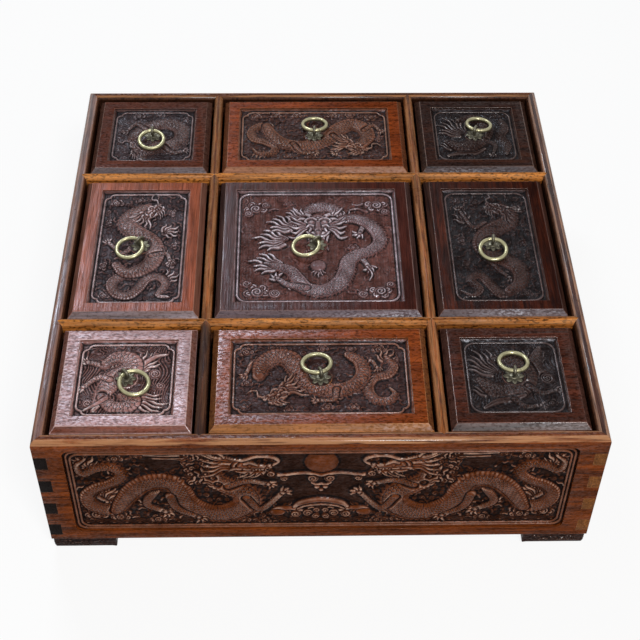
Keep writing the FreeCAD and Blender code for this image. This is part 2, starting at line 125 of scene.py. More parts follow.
class Graph:
    """A few short ways to add and join nodes in a node tree."""

    def __init__(self, tree):
        self.tree = tree

    def node(self, kind, inputs=None, **settings):
        node = self.tree.nodes.new(kind)
        for name, value in settings.items():
            setattr(node, name, value)
        self.feed_all(node.inputs, inputs or {})
        return node

    def feed(self, socket, value):
        """Joins another socket to this one, or sets its value; a colour is given without its alpha."""
        if isinstance(value, bpy.types.NodeSocket):
            self.tree.links.new(value, socket)
        else:
            socket.default_value = (*value, 1.0) if socket.type == "RGBA" else value

    def feed_all(self, sockets, values):
        for key, value in values.items():
            self.feed(sockets[key], value)

    def math(self, operation, first, second=0.0, clamp=False):
        settings = {"operation": operation, "use_clamp": clamp}
        return self.node("ShaderNodeMath", {0: first, 1: second}, **settings).outputs[0]

    def plus(self, first, second):
        return self.math("ADD", first, second)

    def minus(self, first, second):
        return self.math("SUBTRACT", first, second)

    def times(self, first, second):
        return self.math("MULTIPLY", first, second)

    def most(self, first, second):
        return self.math("MAXIMUM", first, second)

    def spread(self, value, low, high, to_low=0.0, to_high=1.0):
        """Stretches a value from one range to another, held inside the second."""
        inputs = {"Value": value, "From Min": low, "From Max": high, "To Min": to_low, "To Max": to_high}
        return self.node("ShaderNodeMapRange", inputs).outputs[0]

    def mix(self, factor, first, second):
        return self.node("ShaderNodeMix", {0: factor, 6: first, 7: second}, data_type="RGBA").outputs[2]

    def noise(self, vector, scale, detail=3.0, roughness=0.55, distortion=0.0):
        inputs = {"Vector": vector, "Scale": scale, "Detail": detail, "Roughness": roughness}
        return self.node("ShaderNodeTexNoise", inputs | {"Distortion": distortion}).outputs[0]

    def vector(self, operation, first, second, output=0):
        return self.node("ShaderNodeVectorMath", {0: first, 1: second}, operation=operation).outputs[output]

    def shaded(self, tone, share):
        return self.node("ShaderNodeVectorMath", {0: tone, "Scale": share}, operation="SCALE").outputs[0]

    def attribute(self, label, output="Fac"):
        return self.node("ShaderNodeAttribute", attribute_name=label).outputs[output]

    def bump(self, height, strength, distance):
        inputs = {"Height": height, "Strength": strength, "Distance": distance}
        return self.node("ShaderNodeBump", inputs).outputs[0]

    def background_rays(self):
        """1 on the rays to which the floor and the room are a plain white background."""
        path = self.node("ShaderNodeLightPath").outputs
        seen = self.most(path["Is Camera Ray"], path["Is Transmission Ray"])
        return self.most(seen, path["Is Glossy Ray"])


def new_tree(kind, name, inputs, outputs):
    """A node tree with named sockets; gives its graph, its inputs and its outputs."""
    tree = bpy.data.node_groups.new(name, kind)
    for way, labels in (("INPUT", inputs), ("OUTPUT", outputs)):
        for label, socket in labels.items():
            tree.interface.new_socket(label, in_out=way, socket_type="NodeSocket" + socket)
    graph = Graph(tree)
    return graph, graph.node("NodeGroupInput").outputs, graph.node("NodeGroupOutput").inputs


def new_finish(name):
    """A new material; gives it, its graph and its shader's inputs."""
    material = bpy.data.materials.new(name)
    material.use_nodes = True
    return material, Graph(material.node_tree), material.node_tree.nodes["Principled BSDF"].inputs


# Camera, floor and light


def place_camera():
    """The camera at the photograph's viewing angle."""
    yaw, pitch, roll = CAMERA_TURN
    ahead = Vector((math.sin(yaw) * math.cos(pitch), math.cos(yaw) * math.cos(pitch), -math.sin(pitch)))
    level = Vector((math.cos(yaw), -math.sin(yaw), 0))
    upright = level.cross(ahead)
    right = math.cos(roll) * level + math.sin(roll) * upright
    up = math.cos(roll) * upright - math.sin(roll) * level
    data = bpy.data.cameras.new("view")
    data.lens = CAMERA_LENS
    data.sensor_width = 36
    data.clip_start = 0.01
    camera = add_object("view", data)
    matrix = Matrix((right, up, -ahead)).transposed().to_4x4()
    matrix.translation = CAMERA_PLACE
    camera.matrix_world = matrix
    bpy.context.scene.camera = camera


def add_lamp(name, place, aim, size, power, tint):
    """A soft box at a place, in metres, that faces a point."""
    data = bpy.data.lights.new(name, "AREA")
    data.shape = "RECTANGLE"
    data.size, data.size_y = size
    data.energy = power
    data.color = tint
    lamp = add_object(name, data)
    lamp.location = place
    lamp.rotation_euler = (Vector(aim) - Vector(place)).to_track_quat("-Z", "Y").to_euler()


def make_floor():
    """A pale floor that reads as white to the camera and still takes the box's soft shadow."""
    half = 4.0
    corners = [(-half, -half, 0), (half, -half, 0), (half, half, 0), (-half, half, 0)]
    floor = add_object("floor", new_mesh("floor", corners, [(0, 1, 2, 3)]))
    material, graph, _ = new_finish("floor_paper")
    material.node_tree.nodes.clear()
    paper = graph.node("ShaderNodeBsdfDiffuse", {"Color": (0.78, 0.78, 0.78)}).outputs[0]
    white = graph.node("ShaderNodeEmission", {"Color": (1, 1, 1), "Strength": 1.0}).outputs[0]
    share = graph.times(graph.background_rays(), FLOOR_WHITE)
    surface = graph.node("ShaderNodeMixShader", {0: share, 1: paper, 2: white}).outputs[0]
    graph.node("ShaderNodeOutputMaterial", {"Surface": surface})
    floor.data.materials.append(material)


def light_the_room():
    """Even room light, white to the camera, with two soft boxes: one behind on the left, one in front."""
    world = bpy.data.worlds.new("room")
    bpy.context.scene.world = world
    world.use_nodes = True
    world.node_tree.nodes.clear()
    graph = Graph(world.node_tree)
    strength = graph.spread(graph.background_rays(), 0.0, 1.0, ROOM_LEVEL, 1.0)
    light = graph.node("ShaderNodeBackground", {"Color": (1, 1, 1), "Strength": strength})
    graph.node("ShaderNodeOutputWorld", {"Surface": light.outputs[0]})
    add_lamp("window_lamp", (-0.42, 0.95, 1.33), (-0.06, 0, 0.1), (0.42, 0.34), 12, (0.82, 0.9, 1.0))
    add_lamp("front_lamp", (0.4, -1.25, 1.62), (0, 0, 0.06), (0.5, 0.34), 31, (1.0, 0.98, 0.96))
    bpy.context.scene.view_settings.view_transform = "Standard"


# Carving


def curve_through(points, widths):
    """Points and half widths close together along a smooth curve through a few chosen points."""
    points = np.array(points, float)
    count = len(points)
    widths = np.interp(np.linspace(0, 1, count), np.linspace(0, 1, len(widths)), widths)
    before = np.vstack([2 * points[0] - points[1], points[:-1]])
    after = np.vstack([points[1:], 2 * points[-1] - points[-2]])
    slopes = (after - before) / 2
    along, girth = [], []
    for index in range(count - 1):
        steps = max(2, int(np.linalg.norm(points[index + 1] - points[index]) / CURVE_GAP))
        t = np.linspace(0, 1, steps, endpoint=index == count - 2)[:, None]
        a, b, ma, mb = points[index], points[index + 1], slopes[index], slopes[index + 1]
        along.append(
            (2 * t**3 - 3 * t**2 + 1) * a + (t**3 - 2 * t**2 + t) * ma
            + (3 * t**2 - 2 * t**3) * b + (t**3 - t**2) * mb
        )
        girth.append(widths[index] + (widths[index + 1] - widths[index]) * t[:, 0])
    return np.vstack(along), np.concatenate(girth)


def scale_pattern(along, across):
    """Overlapping round scales, one high and one wide; 1 on a scale's free edge, 0 in the seams."""
    best = np.zeros_like(along)
    found = np.zeros(along.shape, bool)
    for back in (0, 1, 2):
        row = np.floor(along * 2) - back
        shift = 0.5 * np.mod(row, 2)
        column = np.round(across - shift) + shift
        ahead = along - row / 2
        distance = np.hypot(across - column, (ahead - 0.12) * 0.8)
        inside = (distance < 0.52) & ~found & (ahead >= 0)
        lift = np.clip(1.05 - (distance / 0.5) ** 2, 0, 1) * (0.5 + 0.5 * np.clip(ahead, 0, 1))
        best = np.where(inside, lift, best)
        found |= inside
    return best


def pointing(angle):
    return np.array([math.cos(angle), math.sin(angle)])


def placer(centre, size, angle, face=1, long=1.0):
    """Gives the field's place of a point that is told along and across a form of its own size and turn."""
    c, s = math.cos(angle), math.sin(angle)

    def at(along, across):
        along, across = along * long, across * face
        return (centre[0] + size * (along * c - across * s), centre[1] + size * (along * s + across * c))

    return at


# A dragon's head from the side, in head sizes: the points of each stroke, or the middle of each boss; its
# widths or its radius; the share of the head's rise; then its lift, a boss's squash and its rim
SIDE_HEAD = [
    *(
        ([(-0.25, start * 0.7), (-0.75, start * 0.8 + 0.08), (-1.15, start + sway * 0.35 - 0.1),
          (-1.6, start + sway * 0.8)], [0.13, 0.12, 0.08, 0.02], 0.6)
        for start, sway in ((0.55, 0.5), (0.3, 0.2), (0.05, -0.05), (-0.2, -0.35), (-0.42, -0.7))
    ),
    ([(-0.15, 0.42), (-0.6, 0.72), (-1.05, 0.78), (-1.45, 1.08)], [0.12, 0.11, 0.08, 0.03], 0.9, 0.2),
    ([(-0.7, 0.74), (-0.85, 1.0), (-1.05, 1.15)], [0.07, 0.02], 0.7, 0.2),
    ([(-0.3, 0.25), (-0.72, 0.32), (-0.95, 0.2)], [0.12, 0.1, 0.02], 0.8, 0.3),
    ([(-0.15, -0.3), (0.35, -0.52), (0.85, -0.5), (1.05, -0.38)], [0.2, 0.15, 0.12, 0.06], 0.75),
    *(
        ([(start, -0.55), (start - 0.15, -0.8), (start - 0.42, -0.98)], [0.07, 0.02], 0.55)
        for start in (0.75, 0.5, 0.25)
    ),
    ([(0.2, -0.2), (0.6, -0.3), (0.95, -0.22)], [0.08, 0.03], 0.35),
    ([(-0.12, 0.08)], 0.42, 0.95, 0.1),
    ([(0.0, 0.1), (0.45, 0.08), (0.85, 0.1), (1.12, 0.02)], [0.3, 0.22, 0.16, 0.13], 1.0, 0.1),
    ([(0.02, -0.12), (0.5, -0.13), (0.95, -0.08), (1.16, -0.02)], [0.07, 0.05, 0.03], 0.9, 0.4),
    ([(1.1, 0.14)], 0.15, 0.75, 0.45),
    ([(1.0, 0.02)], 0.09, 0.55, 0.5),
    *(([(fang, -0.14), (fang + 0.03, -0.3)], [0.05, 0.02], 0.7, 0.2) for fang in (0.45, 0.7, 0.95)),
    ([(0.1, 0.3), (0.28, 0.42), (0.5, 0.32), (0.62, 0.2)], [0.1, 0.09, 0.04], 0.75, 0.75),
    ([(0.3, 0.17)], 0.12, 0.5, 0.95, 1.0, 0.3),
    ([(-0.05, -0.1), (-0.3, -0.12), (-0.5, -0.3)], [0.1, 0.09, 0.03], 0.7, 0.55),
    ([(1.08, 0.12), (1.4, 0.45), (1.3, 0.85), (1.65, 1.05), (2.0, 0.95)], [0.06, 0.05, 0.02], 0.6, 0.1),
]
# The same for a head from the front, its nose pointing down the field; each row is drawn on both sides
FRONT_HEAD = [
    *(
        ([(0.5, -0.1), (1.0, drop * 0.4 - 0.1), (1.4, drop * 0.9), (reach, drop + 0.25)],
         [0.14, 0.13, 0.09, 0.02], 0.65)
        for reach, drop in ((1.9, -1.5), (1.75, -1.0), (1.85, -0.5), (1.8, 0.0), (1.7, 0.4))
    ),
    ([(0.3, 0.55), (0.75, 0.85), (1.25, 0.95), (1.6, 1.45)], [0.15, 0.13, 0.1, 0.03], 0.9, 0.2),
    ([(0.95, 0.9), (1.1, 1.2), (1.05, 1.45)], [0.08, 0.02], 0.7, 0.2),
    ([(0.6, 0.3), (1.05, 0.42), (1.35, 0.25)], [0.14, 0.11, 0.02], 0.8, 0.2),
    ([(0, 0)], 0.66, 0.8, 0.0, 1.1),
    ([(0, 0.5)], 0.34, 0.7, 0.25, 1.3),
    ([(0.45, -0.5), (0.62, -1.1), (0.5, -1.8), (0.62, -2.5)], [0.1, 0.09, 0.07, 0.02], 0.7),
    ([(0.3, -1.2), (0.36, -1.9), (0.22, -2.6)], [0.1, 0.08, 0.02], 0.6),
    ([(0, 0.45), (0, 0), (0, -0.5), (0, -0.95)], [0.14, 0.17, 0.22, 0.26], 0.9, 0.3),
    ([(0.3, -0.98)], 0.2, 0.8, 0.4, 1.15),
    ([(0, -0.9)], 0.2, 0.8, 0.6),
    ([(0.1, 0.28), (0.38, 0.42), (0.68, 0.34), (0.82, 0.12), (0.7, 0.02)], [0.1, 0.12, 0.1, 0.04], 0.8, 0.6),
    ([(0.42, 0.1)], 0.19, 0.6, 0.85, 1.15, 0.35),
    ([(0.3, -0.25), (0.55, -0.2), (0.75, -0.4)], [0.1, 0.1, 0.03], 0.7, 0.3),
    ([(0.2, -1.25), (0.5, -1.15), (0.72, -0.8)], [0.09, 0.09, 0.05], 0.7, 0.3),
]


class Carving:
    """A carved field as a grid of heights in millimetres, with its middle at 0, 0."""

    def __init__(self, wide, high, step, fineness=1.0):
        self.wide, self.high = wide, high
        self.step, self.fineness = step, fineness
        self.u = np.linspace(-wide / 2, wide / 2, int(round(wide / step)) + 1)
        self.v = np.linspace(-high / 2, high / 2, int(round(high / step)) + 1)
        self.grid_u, self.grid_v = np.meshgrid(self.u, self.v)
        self.heights = np.zeros(self.grid_u.shape)
        self.skin = np.zeros(self.grid_u.shape + (3,))
        self.turn = 0

    def draw(self, plan):
        """Draws a plan's rows in turn; whatever a later row covers loses its scaled skin."""
        for self.turn, (kind, *rest) in enumerate(plan, 1):
            before = self.heights.copy()
            getattr(self, kind)(*rest)
            hidden = (self.heights != before) & (self.skin[:, :, 2] != self.turn)
            self.skin[hidden, 2] = 0

    def window(self, low, high):
        """The part of the grid between two corners."""
        columns = slice(*np.searchsorted(self.u, (low[0], high[0])))
        rows = slice(*np.searchsorted(self.v, (low[1], high[1])))
        return rows, columns

    def around(self, centre, reach):
        """The part of the grid round a point, and how far across and up from the point it lies."""
        patch = self.window((centre[0] - reach, centre[1] - reach), (centre[0] + reach, centre[1] + reach))
        return patch, self.grid_u[patch] - centre[0], self.grid_v[patch] - centre[1]

    def trace(self, points, widths, reach):
        """How far along and across a curve each grid point near it lies."""
        low = points.min(axis=0) - widths.max() - reach
        high = points.max(axis=0) + widths.max() + reach
        whole = self.window(low, high)
        grid_u, grid_v = self.grid_u[whole], self.grid_v[whole]
        nearest = np.full(grid_u.shape, 1e9)
        along, across, girth = (np.zeros(grid_u.shape) for _ in range(3))
        if not grid_u.size:
            return whole, along, across, nearest, girth
        legs = np.diff(points, axis=0)
        lengths = np.maximum(np.hypot(legs[:, 0], legs[:, 1]), 1e-9)
        starts = np.concatenate([[0], np.cumsum(lengths)])
        first = np.array([grid_u[0, 0], grid_v[0, 0]])
        for index, (start, leg, length) in enumerate(zip(points, legs, lengths)):
            wide = max(widths[index], widths[index + 1]) + reach
            ends = np.array([start, start + leg])
            left, bottom = np.maximum(0, ((ends.min(axis=0) - wide - first) / self.step).astype(int))
            right, top = ((ends.max(axis=0) + wide - first) / self.step).astype(int) + 2
            if right <= left or top <= bottom:
                continue
            patch = (slice(bottom, top), slice(left, right))
            du, dv = grid_u[patch] - start[0], grid_v[patch] - start[1]
            t = np.clip((du * leg[0] + dv * leg[1]) / length**2, 0, 1)
            distance = np.hypot(du - t * leg[0], dv - t * leg[1])
            closer = distance < nearest[patch]
            side = np.where(leg[0] * dv - leg[1] * du >= 0, 1.0, -1.0)
            for kept, found in (
                (nearest, distance),
                (along, starts[index] + t * length),
                (across, distance * side),
                (girth, widths[index] + (widths[index + 1] - widths[index]) * t),
            ):
                kept[patch] = np.where(closer, found, kept[patch])
        return whole, along, across, nearest, np.maximum(girth, 1e-3)

    def cut_round(self, patch, outside, level):
        """Cuts the ground away beside a shape, so that its edge reads as carved round."""
        heights = self.heights[patch]
        near = (outside > 0) & (outside < CUT_WIDTH)
        self.heights[patch] = np.where(near, np.minimum(heights, level + CUT_SLOPE * outside), heights)

    def lay(self, patch, q, outside, level, form):
        """Sets a form on the ground where q is under 1, with its edge carved round."""
        self.cut_round(patch, outside, level)
        self.heights[patch] = np.where(q < 1, form, self.heights[patch])

    def cover(self, patch, scaled, along, across):
        """Keeps the way along and across a scaled skin, and the turn in which it was drawn."""
        place = np.stack([along, across, np.full(along.shape, float(self.turn))], axis=2)
        self.skin[patch] = np.where(scaled[:, :, None], place, self.skin[patch])

    def stroke(self, points, widths, rise, level=0.25, crease=0.0):
        """One round-backed tapering stroke; crease cuts a line along its middle."""
        points, widths = curve_through(points, widths)
        patch, _, _, nearest, girth = self.trace(points, widths, 1.5)
        q = nearest / girth
        form = level + rise * np.clip(1 - q**2, 0, 1) ** 0.5
        if crease:
            form -= crease * np.exp(-((q / 0.22) ** 2))
        self.lay(patch, q, nearest - girth, level, form)

    def dome(self, centre, radius, rise, level=0.25, squash=1.0, rim=0.0):
        """A round or oval boss; rim cuts a ring just inside its edge."""
        patch, du, dv = self.around(centre, radius * max(1, squash) + 1.5)
        q = np.hypot(du / squash, dv) / radius
        form = level + rise * np.clip(1 - q**2, 0, 1) ** 0.5
        if rim:
            form -= rim * np.exp(-(((q - 0.72) / 0.13) ** 2))
        self.lay(patch, q, (q - 1) * radius, level, form)

    def curl(self, centre, radius, rise, level=0.25, hand=1, pitch=1.5, start=0.0):
        """A round boss with a spiral groove, as on a cloud or wave."""
        patch, du, dv = self.around(centre, radius + 1.5)
        q = np.hypot(du, dv) / radius
        turn = np.arctan2(dv, du) * hand + start
        phase = q * radius / pitch - turn / (2 * math.pi)
        form = level + rise * np.clip(1 - q**4, 0, 1) ** 0.5 * (0.62 + 0.38 * np.cos(2 * math.pi * phase))
        self.lay(patch, q, (q - 1) * radius, level, form)

    def strands(self, root, heading, spread, length, width, rise, count, bend=0.5, level=0.25):
        """A lock of hair or a flame: tapering strands that fan out and sway."""
        for index in range(count):
            part = index / max(1, count - 1) - 0.5
            reach = length * (1 - 0.55 * abs(part)) * (1 if index % 2 else 0.86)
            ahead = pointing(math.radians(heading + spread * part))
            side = np.array([-ahead[1], ahead[0]])
            sway = bend * reach * (0.35 if index % 2 else 0.25)
            origin = np.array(root) + side * part * width * 1.4 * count / 2
            points = [
                origin,
                origin + ahead * reach * 0.35 + side * sway * 0.6,
                origin + ahead * reach * 0.7 - side * sway * 0.25,
                origin + ahead * reach + side * sway * 0.55,
            ]
            self.stroke(points, [width, width * 0.95, width * 0.6, 0.12], rise, level)

    def flow(self, angle, pitch, rise, sway, seed, eyes=0.011):
        """Long wavy ridges over the whole ground that swirl round scattered eyes, as running water does."""
        c, s = pointing(math.radians(angle))
        along = self.grid_u * c + self.grid_v * s
        across = self.grid_v * c - self.grid_u * s
        drift = sway * (np.sin(along / 7.3 + seed + across / 11) + 0.6 * np.sin(along / 3.9 + 2 * seed))
        chance = np.random.default_rng(seed)
        for _ in range(int(self.wide * self.high * eyes)):
            spot = (chance.random(2) - 0.5) * (self.wide, self.high)
            reach = chance.uniform(2.2, 4.2)
            patch, du, dv = self.around(spot, 3 * reach)
            drift[patch] += chance.choice((-1.9, 1.9)) * reach * np.exp(-((np.hypot(du, dv) / reach) ** 2))
        phase = (across + drift) / pitch
        ridge = 0.5 + 0.5 * np.cos(2 * math.pi * phase)
        breaks = 0.5 + 0.5 * np.sin(along / 4.3 + 2.1 * np.sin(phase * 1.7 + seed))
        self.heights = np.maximum(self.heights, rise * ridge * (0.55 + 0.45 * breaks))

    def scrolls(self, low, high, pitch, size, rise, seed):
        """Small scattered scrolls, buds and flames between two corners, set close but in no rows."""
        chance = np.random.default_rng(seed)
        for v in np.arange(low[1] + pitch / 2, high[1], pitch):
            for u in np.arange(low[0] + pitch / 2, high[0], pitch):
                spot = np.array((u, v)) + chance.uniform(-0.42, 0.42, 2) * pitch
                part, turn = chance.uniform(0.7, 1.25) * size, chance.uniform(0, 2 * math.pi)
                lift = rise * chance.uniform(0.6, 1.1)
                if chance.random() < 0.55:
                    self.curl(spot, part, lift, 0.1, chance.choice((-1, 1)), part * 0.8, turn)
                    continue
                ahead = pointing(turn) * part
                side = np.array((-ahead[1], ahead[0])) * 0.6
                bend, turned = spot + side * 0.6, spot + ahead * 0.8 - side * 0.4
                points = [spot - ahead, bend, turned, spot + ahead * 1.7]
                self.stroke(points, [part * 0.42, part * 0.36, 0.12], lift, 0.1)

    def hush(self, centre, half_u, half_v):
        """Takes an oval of the ground back to a plain low surface."""
        q = np.hypot((self.grid_u - centre[0]) / half_u, (self.grid_v - centre[1]) / half_v)
        self.heights *= np.clip((q - 0.8) / 0.2, 0, 1)

    def body(self, spine, widths, rise, level, scale, belly, fin, plates=True):
        """A dragon's body: round, scaled, with belly plates on one side and a spiked fin on the other."""
        points, widths = curve_through(spine, widths)
        patch, along, across, nearest, girth = self.trace(points, widths, fin + 1.6)
        q = nearest / girth
        side = across / girth * belly
        beyond = nearest - girth
        tooth = np.mod(along / FIN_PITCH, 1)
        fin_here = fin * np.clip(girth / 3.0, 0.45, 1) * (0.35 + 0.65 * tooth)
        on_fin = (beyond >= -0.4) & (beyond < fin_here) & (side < 0)
        slant = np.clip(1 - beyond / np.maximum(fin_here, 0.1), 0, 1)
        fin_height = level + rise * 0.42 * slant**0.7 + 0.12 * tooth
        self.cut_round(patch, beyond - np.where(side < 0, fin_here, 0), level * 0.6)
        self.heights[patch] = np.where(on_fin, fin_height, self.heights[patch])
        round_back = np.clip(1 - q**2, 0, 1) ** 0.5
        arc = np.arcsin(np.clip(across / girth, -1, 1)) * girth
        fine = 0.72 * self.fineness / scale
        scales = scale_pattern(along * fine, arc * fine * 1.1)
        skin = level + rise * round_back + 0.35 * (scales - 0.6) * np.clip(round_back * 1.6, 0, 1)
        seam = 0.5 if plates else 1
        if plates:
            plate = np.mod(along / (scale * 0.9) + 0.25 * side, 1)
            ribs = 0.7 * np.clip(1 - (2 * plate - 1) ** 4, 0, 1) - 0.45
            underside = level + rise * round_back * 0.92 + ribs
            skin = np.where(side > seam, underside, skin)
            skin -= 0.35 * np.exp(-(((side - seam) * girth / 0.32) ** 2))
        self.heights[patch] = np.where(q < 1, skin, self.heights[patch])
        self.cover(patch, (q < 0.97) & (side < seam), along * fine, arc * fine * 1.1)

    def leg(self, joints, width, rise, level, claw, spread=95):
        """A scaled leg through its joints, a tuft at the elbow, and a paw with hooked claws."""
        joints = [np.array(joint, float) for joint in joints]
        root = joints[1] if len(joints) > 2 else joints[0]
        back = root - joints[-1]
        heading = math.degrees(math.atan2(back[1], back[0]))
        self.strands(root, heading, 50, claw * 1.5, width * 0.33, rise * 0.6, 3, 0.5, level * 0.8)
        fine = self.fineness / 3
        points, widths = curve_through(joints, [width, width * 0.85, width * 0.6])
        patch, along, across, nearest, girth = self.trace(points, widths, 1.5)
        q = nearest / girth
        round_back = np.clip(1 - q**2, 0, 1) ** 0.5
        arc = np.arcsin(np.clip(across / girth, -1, 1)) * girth
        skin = level + rise * round_back + 0.3 * (scale_pattern(along * fine, arc * fine) - 0.6) * round_back
        self.lay(patch, q, nearest - girth, level, skin)
        self.cover(patch, q < 0.97, along * fine, arc * fine)
        wrist = joints[-1]
        ahead = wrist - joints[-2]
        heading = math.atan2(ahead[1], ahead[0])
        for toe in range(TOES):
            angle = heading + math.radians(spread) * (toe / (TOES - 1) - 0.5)
            out, hook = pointing(angle), pointing(angle - 0.9)
            knuckle = wrist + out * claw * 0.55
            tip = knuckle + (out * 0.35 + hook * 0.65) * claw * 0.7
            self.stroke([wrist, knuckle, tip], [width * 0.34, width * 0.36, 0.15], rise * 0.8, level + 0.1)
        self.dome(wrist, width * 0.62, rise * 0.75, level + 0.2)

    def clouds(self, *rows):
        """Scrolled clouds, each by its place, size, rise and turn: curls round a middle one, and a tail."""
        for u, v, size, rise, turn in rows:
            at = placer((u, v), size, turn)
            tail = [at(0.3, -0.2), at(1.2, -0.35), at(1.9, -0.1), at(2.5, -0.3)]
            self.stroke(tail, [size * 0.25, 0.15], rise * 0.7, 0.2)
            for along, across, part, hand in (
                (-0.75, -0.25, 0.5, 1),
                (0.8, -0.2, 0.5, -1),
                (-0.35, 0.45, 0.48, 1),
                (0.45, 0.45, 0.46, -1),
                (0.0, -0.1, 0.62, 1),
            ):
                self.curl(at(along, across), size * part, rise, 0.2, hand, max(0.75, size * 0.3), turn)

    def head(self, rows, centre, size, rise, level, turn=0.0, face=1, longs=(1.0,)):
        """Draws a head's strokes and bosses; longs stretches it along its nose, or mirrors it."""
        for points, widths, part, *rest in rows:
            lift, *shape = rest or (0.0,)
            for long in longs:
                at = placer(centre, size, math.radians(turn), face, long)
                spots = [at(*point) for point in points]
                if len(spots) > 1:
                    self.stroke(spots, [width * size for width in widths], rise * part, level + lift)
                else:
                    self.dome(spots[0], size * widths, rise * part, level + lift, *shape)

    def side_head(self, centre, size, turn, face, rise, level, whisker=True, long=1.0):
        """A dragon's head seen from the side; face is 1 or -1 for which way up the brow is."""
        rows = SIDE_HEAD if whisker else SIDE_HEAD[:-1]
        self.head(rows, centre, size, rise, level, turn, face, (long,))

    def front_head(self, centre, size):
        self.head(FRONT_HEAD, centre, size, 2.0, 0.5, longs=(-1, 1))

    def waves(self, left, right, bottom, top, size, rise):
        """Rows of cresting waves along the bottom of a field."""
        row = 0
        height = top
        while height > bottom - size * 0.5:
            place = left + size * 0.8 * (row % 2)
            while place < right + size:
                patch, du, dv = self.around((place, height), size)
                q = np.hypot(du, dv + size * 0.6) / size
                arcs = 0.55 + 0.45 * np.cos(2 * math.pi * q * size / 1.5)
                lift = 0.15 + rise * arcs * np.clip(1.15 - q, 0.35, 1)
                keep = (q < 1) & (self.grid_v[patch] < top + size * 0.4)
                self.heights[patch] = np.where(keep, lift, self.heights[patch])
                place += size * 1.6
            height -= size * 0.55
            row += 1

    def mirror(self):
        """Repeats the left half on the right."""
        left = self.grid_u <= 0
        self.heights = np.where(left, self.heights, self.heights[:, ::-1])
        self.skin = np.where(left[:, :, None], self.skin, self.skin[:, ::-1])

    def relief_masks(self, ground=0.0):
        """How deep in a hollow, and how high on a crest, each point lies against the ground round it.
        ground adds a share of painted shade and old wax wherever the surface is low."""
        size = max(1, int(round(BLUR_REACH / self.step)))
        blurred = self.heights
        for axis in (0, 1, 0, 1):
            padding = [(0, 0), (0, 0)]
            padding[axis] = (size + 1, size)
            sums = np.cumsum(np.pad(blurred, padding, mode="edge"), axis=axis)
            ahead = np.take(sums, range(2 * size + 1, sums.shape[axis]), axis=axis)
            behind = np.take(sums, range(0, sums.shape[axis] - 2 * size - 1), axis=axis)
            blurred = (ahead - behind) / (2 * size + 1)
        offset = (blurred - self.heights) / CREST_SPAN
        low = ground * np.clip(1.1 - self.heights, 0, 1)
        return np.clip(np.maximum(offset, 0) + low, 0, 1), np.clip(-offset, 0, 1)


